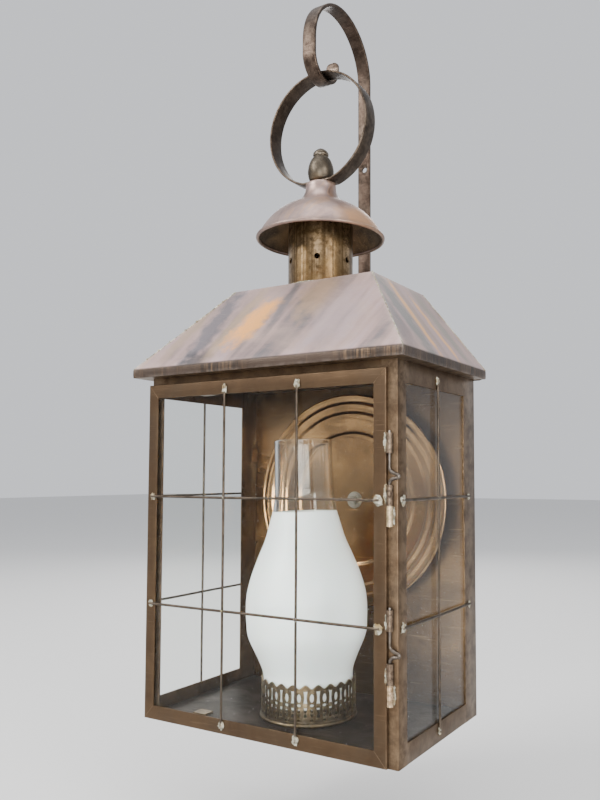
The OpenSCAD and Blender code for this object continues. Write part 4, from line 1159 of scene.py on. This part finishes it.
def build_door():
    """Folded channel round the pane: its section goes round the door with mitred corners."""
    t, stile, rail = 0.8, 9.8, 11.0
    front, back = DOOR_LOW.y, DOOR_HIGH.y
    # section points: (share of the face width in from the outer edge, y)
    section = [(0.0, back), (0.0, front + 0.45), (0.035, front + 0.1), (0.09, front),
               (0.5, front - 0.02), (0.94, front), (0.985, front + 0.12), (1.0, front + 0.4),
               (1.0, front + t), (0.09, front + t), (0.08, front + t + 0.1), (0.08, back)]
    counts = (26, 30, 26, 30)
    points = []
    for share, y in section:
        u, v = share * stile, share * rail
        for x, z in rect_loop(DOOR_LOW.x + u, DOOR_HIGH.x - u, DOOR_LOW.z + v, DOOR_HIGH.z - v,
                              counts):
            bow = 0.12 * wobble((x, y, z), 0.02, 12.0)
            points.append((x, y + min(bow, 0.1) * (1 if y < back else 0), z))
    add_piece("door_surround", points,
              grid_faces(len(section), sum(counts), wrap_rows=True, wrap_columns=True),
              "frame_copper", "door", ["door_frame"], angle=30.0)
    sheet_panel("door_pane", "door_glass", "pane_glass", 0.12, 21.0, "door")
    # solder run along each mitre
    runs = []
    for sx, x in ((1, DOOR_LOW.x), (-1, DOOR_HIGH.x)):
        for sz, z in ((1, DOOR_LOW.z), (-1, DOOR_HIGH.z)):
            start = Vector((x + sx * 0.6, front + 0.1, z + sz * 0.6))
            end = Vector((x + sx * stile, front + 0.1, z + sz * rail))
            runs.append(tube_along(line(start, end, 10), 0.28, 8))
    add_parts("door_mitre_solder", runs, "frame_copper", "door")


def build_hinges():
    """Bent wire pins with rounded thumb loops, and solder on the tubes' saddles."""
    for label in ("upper", "lower"):
        low, high = local_box(f"{label}_hinge_pin")
        axis_x, axis_y = low.x + 1.0, (low.y + high.y) / 2
        reach = high.x - axis_x - 1.1
        grip, tube_gap, loop_clear = 10.2, 0.2, 0.8
        loop_low = low.z + grip + tube_gap + HINGE_TUBE + loop_clear
        bend = [(0, loop_low), (0.3, loop_low + 1.5), (1.4, loop_low + 2.8),
                (0.45 * reach, loop_low + 3.6), (0.78 * reach, loop_low + 3.9),
                (0.95 * reach, loop_low + 4.5), (reach, loop_low + 5.3),
                (0.9 * reach, loop_low + 6.1), (0.6 * reach, loop_low + 6.9),
                (0.3 * reach, loop_low + 7.9), (0.7, loop_low + 9.0), (0, loop_low + 10.4)]
        run = [tuple(p) for p in curve_through(bend, 5)]
        foot = [(0, low.z + 0.2 + (loop_low - low.z - 0.4) * i / 8) for i in range(8)]
        head = [(0, loop_low + 11.2 + (high.z - loop_low - 11.6) * i / 8) for i in range(9)]
        path = [(axis_x + x, axis_y, z) for x, z in foot + run + head]
        count = len(path)
        first, last = len(foot) / count, (len(foot) + len(run)) / count

        def swell(share):
            """The loop is of slightly fuller wire than the stretches in the tubes."""
            inside = min((share - first) / 0.08, (last - 0.06 - share) / 0.08)
            return 1.0 + 0.22 * min(max(inside, 0.0), 1.0)

        add_piece(f"{label}_pin_wire", *tube_along(path, 0.98, 16, swell), "pin_wire",
                  f"{label}_pin", [f"{label}_hinge_pin"])
    door_dabs, post_dabs = [], []
    for node in ("upper_door_knuckles", "lower_door_knuckles"):
        low, high = local_box(node)
        for z0, runs in ((low.z, ((0.30, 0.9, 3.6), (0.62, 0.6, 2.6))),
                         (high.z - HINGE_TUBE, ((0.28, 1.0, 2.8), (0.52, 1.5, 3.4),
                                                (0.82, 1.2, 2.8)))):
            for share, wide, tall in runs:
                spot = (DOOR_HIGH.x - 0.5, DOOR_LOW.y + 0.35, z0 + share * HINGE_TUBE)
                door_dabs.append(blob(spot, (wide, 0.7, tall), z0 + share * 31, 14, 18))
    low, high = local_box("post_knuckles")
    for z0 in (low.z, high.z - HINGE_TUBE):
        for share, wide, tall in ((0.22, 0.8, 2.4), (0.5, 1.1, 3.2), (0.84, 0.7, 1.6)):
            post_dabs.append(blob((high.x - 0.3, -0.7, z0 + share * HINGE_TUBE),
                                  (wide, 0.8, tall), z0 + share * 17, 13, 16))
    add_parts("hinge_door_solder", door_dabs, "hinge_metal", "door", material=SOLDER)
    add_parts("hinge_post_solder", post_dabs, "hinge_metal", "lantern", material=SOLDER)


# ------------------------------------------------------------------ reflector


def build_reflector():
    low, high = local_box("reflector")
    r = (high.x - low.x) / 2
    centre_z = (high.z + low.z) / 2
    depth, bead_r, hole_r = 13.0, 1.5, 3.0
    ridge_shares = (0.62, 0.81, 0.9)

    def dish(q):
        ridges = max(math.exp(-((q - k * r) / 2.2) ** 2) for k in ridge_shares)
        return depth * (q / r) ** 2 + 1.2 * ridges

    steps = 110
    edge = r - 2.85
    radii = [hole_r + (edge - hole_r) * i / steps for i in range(steps + 1)]
    front = [(q, dish(q) + SHEET) for q in radii]
    back = [(q, dish(q)) for q in reversed(radii)]
    bead = arc_points((r - bead_r, dish(edge) + SHEET / 2), bead_r, 160, -160, 16)
    profile = front + bead + back
    turn = Matrix.Rotation(math.radians(90), 3, "X")
    segments = 160
    points = [turn @ Vector(p) + Vector((0, high.y, centre_z))
              for p in lathe_points(profile, 0, 0, segments)]
    add_piece("spun_reflector", points, grid_faces(len(profile), segments, True, True),
              "reflector_copper", "lantern", ["reflector"])


# ------------------------------------------------------------------ lamp


def gallery_outline(period, height):
    """One repeat of the pierced band: its outline and openings, as closed loops of (x, z)."""
    half = period / 2
    crown = []
    for i in range(25):
        x = half - period * i / 24
        wave = 0.5 + 0.5 * math.cos(2 * math.pi * x / period)
        crown.append((x, height - 3.4 + 3.0 * wave ** 0.8))
    border = [(-half, 0.0), (half, 0.0)] + crown

    def oval(cx, cz, rx, rz, n=18):
        return [(cx + rx * math.cos(2 * math.pi * i / n), cz + rz * math.sin(2 * math.pi * i / n))
                for i in range(n)]

    def waisted(cx, cz, w, h, waist):
        made = []
        for side in (1, -1):
            for i in range(9):
                t = (i / 8 - 0.5) * side
                made.append((cx + side * w / 2 * (waist + (1 - waist) * (2 * t) ** 2), cz + h * t))
        return made

    holes = [waisted(0.0, height - 9.6, 3.1, 9.2, 0.6), waisted(0.0, height - 21.0, 2.6, 7.4, 0.75)]
    for side in (-1, 1):
        holes += [oval(side * half, height - 10.2, 1.55, 3.3),
                  oval(side * half, height - 15.6, 1.5, 1.15),
                  oval(side * half, height - 21.2, 1.4, 2.8),
                  oval(side * half, height - 26.6, 1.3, 0.8)]
    return border, holes


def build_gallery():
    """The pierced brass band: one repeat is cut flat, wrapped and repeated round."""
    repeats = 24
    half_sheet = 0.35
    outer_r = (GALLERY_HIGH.x - GALLERY_LOW.x) / 2
    mean_r = outer_r - half_sheet
    period = 2 * math.pi * mean_r / repeats
    base_z = GALLERY_LOW.z
    height = GALLERY_HIGH.z - base_z
    border, holes = gallery_outline(period, height)
    inside = [h for h in holes if max(abs(x) for x, z in h) < period / 2 - 0.2]
    edge_holes = [h for h in holes if h not in inside and h[0][0] > 0]
    flat = bpy.data.curves.new("gallery_flat", "CURVE")
    flat.dimensions = "2D"
    flat.fill_mode = "BOTH"
    flat.extrude = half_sheet
    half = period / 2
    for loop in [border] + inside:
        spline = flat.splines.new("POLY")
        spline.points.add(len(loop) - 1)
        for point, (x, z) in zip(spline.points, loop):
            point.co = (x, z, 0, 1)
        spline.use_cyclic_u = True
    holder = add_object("gallery_flat", flat)
    bpy.context.view_layer.update()
    graph = bpy.context.evaluated_depsgraph_get()
    mesh = bpy.data.meshes.new_from_object(holder.evaluated_get(graph))
    bpy.data.objects.remove(holder)
    work = bmesh.new()
    work.from_mesh(mesh)
    bmesh.ops.remove_doubles(work, verts=work.verts, dist=0.001)
    walls = [f for f in work.faces if all(abs(abs(v.co.x) - half) < 0.002 for v in f.verts)]
    bmesh.ops.delete(work, geom=walls, context="FACES")
    for i in range(1, 8):
        x = -half + period * i / 8
        geometry = work.verts[:] + work.edges[:] + work.faces[:]
        bmesh.ops.bisect_plane(work, geom=geometry, dist=0.0005, plane_co=(x, 0, 0),
                               plane_no=(1, 0, 0))
    work.verts.index_update()
    cell = [v.co.copy() for v in work.verts]
    cell_faces = [tuple(v.index for v in f.verts) for f in work.faces]
    work.free()
    bpy.data.meshes.remove(mesh)

    def wrapped(x, z, out, n):
        """A point of the flat pattern's repeat n, wrapped round the lamp."""
        a = (x + n * period) / mean_r
        r = mean_r + out
        return (r * math.sin(a), LAMP_Y - r * math.cos(a), base_z + z)

    cells = [([wrapped(p.x, p.y, p.z, n) for p in cell], cell_faces) for n in range(repeats)]
    band = add_parts("pierced_gallery", cells, "gallery_brass", "lantern",
                     ["lamp_gallery"], angle=30.0)
    # the openings that fall on the joins between repeats
    cutters = []
    for h in edge_holes:
        faces = grid_faces(2, len(h), wrap_columns=True) + end_caps(2, len(h))
        for n in range(repeats):
            cutters.append(([wrapped(x, z, out, n) for out in (-2.0, 2.0) for x, z in h], faces))
    cut_with(band, "gallery_hole_cutter", *merge(cutters))
    # ledge inside, and the spun base with its beads
    inner = outer_r - 0.75
    ledge_low, ledge_high, ledge_wide = 14.2, 14.9, 6
    ledge = [(inner - ledge_wide, ledge_low), (inner, ledge_low), (inner, ledge_high),
             (inner - ledge_wide, ledge_high)]
    lathe("gallery_ledge", ledge, (0, LAMP_Y), 96, "gallery_brass", "lantern")
    rim = local_box("gallery_base")[1].x
    profile = [(5.0, FLOOR_TOP), (rim - 1.6, FLOOR_TOP)]
    profile += arc_points((rim - 1.9, FLOOR_TOP + 1.9), 1.9, -90, 60, 12)
    profile += [(rim - 1.5, FLOOR_TOP + 3.75)]
    profile += arc_points((rim - 2.0, FLOOR_TOP + 4.6), 0.8, -50, 100, 7)
    profile += [(rim - 2.6, FLOOR_TOP + 5.6), (outer_r - 6, FLOOR_TOP + 6.0),
                (5.0, FLOOR_TOP + 5.0)]
    lathe("gallery_base_pan", profile, (0, LAMP_Y), 128, "gallery_brass", "lantern",
          stands_for=["gallery_base"])


def build_chimney():
    """The chimney in two pieces: the satin white bowl and the clear neck above it."""
    foot_r = CHIMNEY_FOOT_R
    ledge = local_box("glass_chimney")[0].z + math.sin(CHIMNEY_LEAN) * foot_r
    big_r, tall, gripped = 49.5, 209.0, 20.1

    def up(share):
        return gripped + share * (tall - gripped)

    stations = [(foot_r, 0), (foot_r, 0.7 * gripped), (foot_r + 0.5, gripped + 3)]
    stations += [(r * big_r, up(h)) for r, h in (
        (0.815, 0.07), (0.965, 0.16), (0.995, 0.223), (1.0, 0.286), (0.98, 0.345),
        (0.905, 0.419), (0.78, 0.503), (0.667, 0.572), (0.575, 0.654), (0.53, 0.699),
        (0.497, 0.767), (0.486, 0.87), (0.482, 1.0))]
    outline = [(p[0] - 0.1, p[1]) for p in curve_through(stations, 7)]
    change = 151.0
    wall = 1.9
    lean = Matrix.Rotation(-CHIMNEY_LEAN, 3, "Y")
    for name, rows, material in (
            ("chimney_bowl", [p for p in outline if p[1] <= change], MATERIALS["chimney_glass"]),
            ("chimney_neck", [p for p in outline if p[1] >= change - 2.0], CLEAR_NECK)):
        profile = rows + [(p[0] - wall, p[1]) for p in reversed(rows)]
        if name == "chimney_neck":
            rim = arc_points((rows[-1][0] - wall / 2, tall - 0.9), 0.6 * wall, 0, 180, 10)
            profile[len(rows) - 1:len(rows) + 1] = rim
        points = [lean @ Vector(p) + Vector((0, LAMP_Y, ledge))
                  for p in lathe_points(profile, 0, 0, 128)]
        add_piece(name, points, grid_faces(len(profile), 128, True, True), "chimney_glass",
                  "lantern", ["glass_chimney"], material=material, angle=50.0)


def build_lamp_holder():
    low, high = local_box("lamp_socket")
    r = (high.x - low.x) / 2
    profile = [(5, low.z), (r - 1, low.z), (r, low.z + 1), (r, low.z + 12), (r - 0.8, low.z + 13),
               (r - 0.8, low.z + 15), (r, low.z + 16), (r, high.z - 1), (r - 1, high.z),
               (6.6, high.z), (6.6, high.z - 20), (5, high.z - 20)]
    lathe("lamp_holder", profile, (0, LAMP_Y), 72, "socket_ceramic", "lantern",
          stands_for=["lamp_socket"])
    low, high = local_box("light_bulb")
    r, h = (high.x - low.x) / 2, high.z - low.z
    stations = [(0.4 * r, 0), (0.55 * r, 0.13 * h), (r, 0.44 * h), (0.75 * r, 0.74 * h),
                (0.35 * r, 0.925 * h), (0.02, h)]
    profile = [(0.02, low.z)] + [(p[0] * 0.98, low.z + p[1]) for p in curve_through(stations, 9)]
    lathe("candle_bulb", profile, (0, LAMP_Y), 72, "bulb_glass", "lantern", closed=False,
          stands_for=["light_bulb"])


# ------------------------------------------------------------------ carried-over CAD nodes


def finish_cad_nodes():
    """Gives every CAD node its slot's finish, and softens the small parts' edges."""
    slots = {row["node"]: row["material_slot"] for row in frame["record"]["subparts"]}
    for name, piece in frame["nodes"].items():
        piece.data.materials.clear()
        piece.data.materials.append(POST_TUBE if name == "post_knuckles" else
                                    MATERIALS[slots[name]])
        if piece.hide_render:
            continue
        soften = piece.modifiers.new("soft_edges", "BEVEL")
        soften.width = 0.12 * MM
        soften.segments = 2
        soften.limit_method = "ANGLE"
        soften.angle_limit = math.radians(40)


# ------------------------------------------------------------------ stage


def build_stage():
    floor_z = CAD_BOX[0].z - 0.10
    size = 9.0
    mesh = bpy.data.meshes.new("stage_floor")
    mesh.from_pydata([(-size, -size, floor_z), (size, -size, floor_z), (size, size, floor_z),
                      (-size, size, floor_z)], [], [(0, 1, 2, 3)])
    mesh.materials.append(pale_stage())
    add_object("stage_floor", mesh)
    world = bpy.data.worlds.new("soft_studio")
    bpy.context.scene.world = world
    world.use_nodes = True
    sky = world.node_tree.nodes["Background"].inputs
    sky["Color"].default_value = (0.93, 0.95, 1.0, 1)
    sky["Strength"].default_value = 0.9
    middle = (CAD_BOX[0] + CAD_BOX[1]) / 2
    lamps = (("key_light", (-1.1, -1.5, 1.2), 0.9, 58.0, (1.0, 0.98, 0.95)),
             ("side_light", (1.7, -0.7, 0.5), 0.7, 26.0, (1.0, 0.97, 0.93)),
             ("front_light", (0.75, -1.8, -0.2), 0.8, 42.0, (1.0, 0.99, 0.97)),
             ("top_light", (0.1, -0.3, 1.7), 1.2, 22.0, (1.0, 1.0, 1.0)),
             ("back_light", (-0.9, 1.6, 0.9), 1.0, 18.0, (1.0, 0.98, 0.96)))
    for name, offset, width, power, colour in lamps:
        data = bpy.data.lights.new(name, "AREA")
        data.shape = "SQUARE"
        data.size = width
        data.energy = power
        data.color = colour
        lamp = add_object(name, data)
        lamp.location = middle + Vector(offset)
        lamp.rotation_mode = "QUATERNION"
        lamp.rotation_quaternion = (middle - lamp.location).to_track_quat("-Z", "Y")


def build_camera():
    """Below eye level on the lantern's right, looking slightly up."""
    data = bpy.data.cameras.new("view_camera")
    camera = add_object("view_camera", data)
    data.sensor_width = 36.0
    data.lens = 34.4
    data.shift_x = -0.0767
    data.shift_y = 0.0362
    camera.location = place((354.4, -462.4, 195.7))
    yaw, pitch = math.radians(30.11), math.radians(3.52)
    ahead = Vector((-math.sin(yaw) * math.cos(pitch), math.cos(yaw) * math.cos(pitch),
                    math.sin(pitch)))
    camera.rotation_mode = "QUATERNION"
    camera.rotation_quaternion = ahead.to_track_quat("-Z", "Y")
    bpy.context.scene.camera = camera


build_camera()
build_stage()
build_crook()
build_ring()
build_finial()
build_cap()
build_roof()
build_box()
build_door()
build_guard_wires()
build_hinges()
build_reflector()
build_gallery()
build_chimney()
build_lamp_holder()
finish_cad_nodes()

bpy.context.view_layer.update()
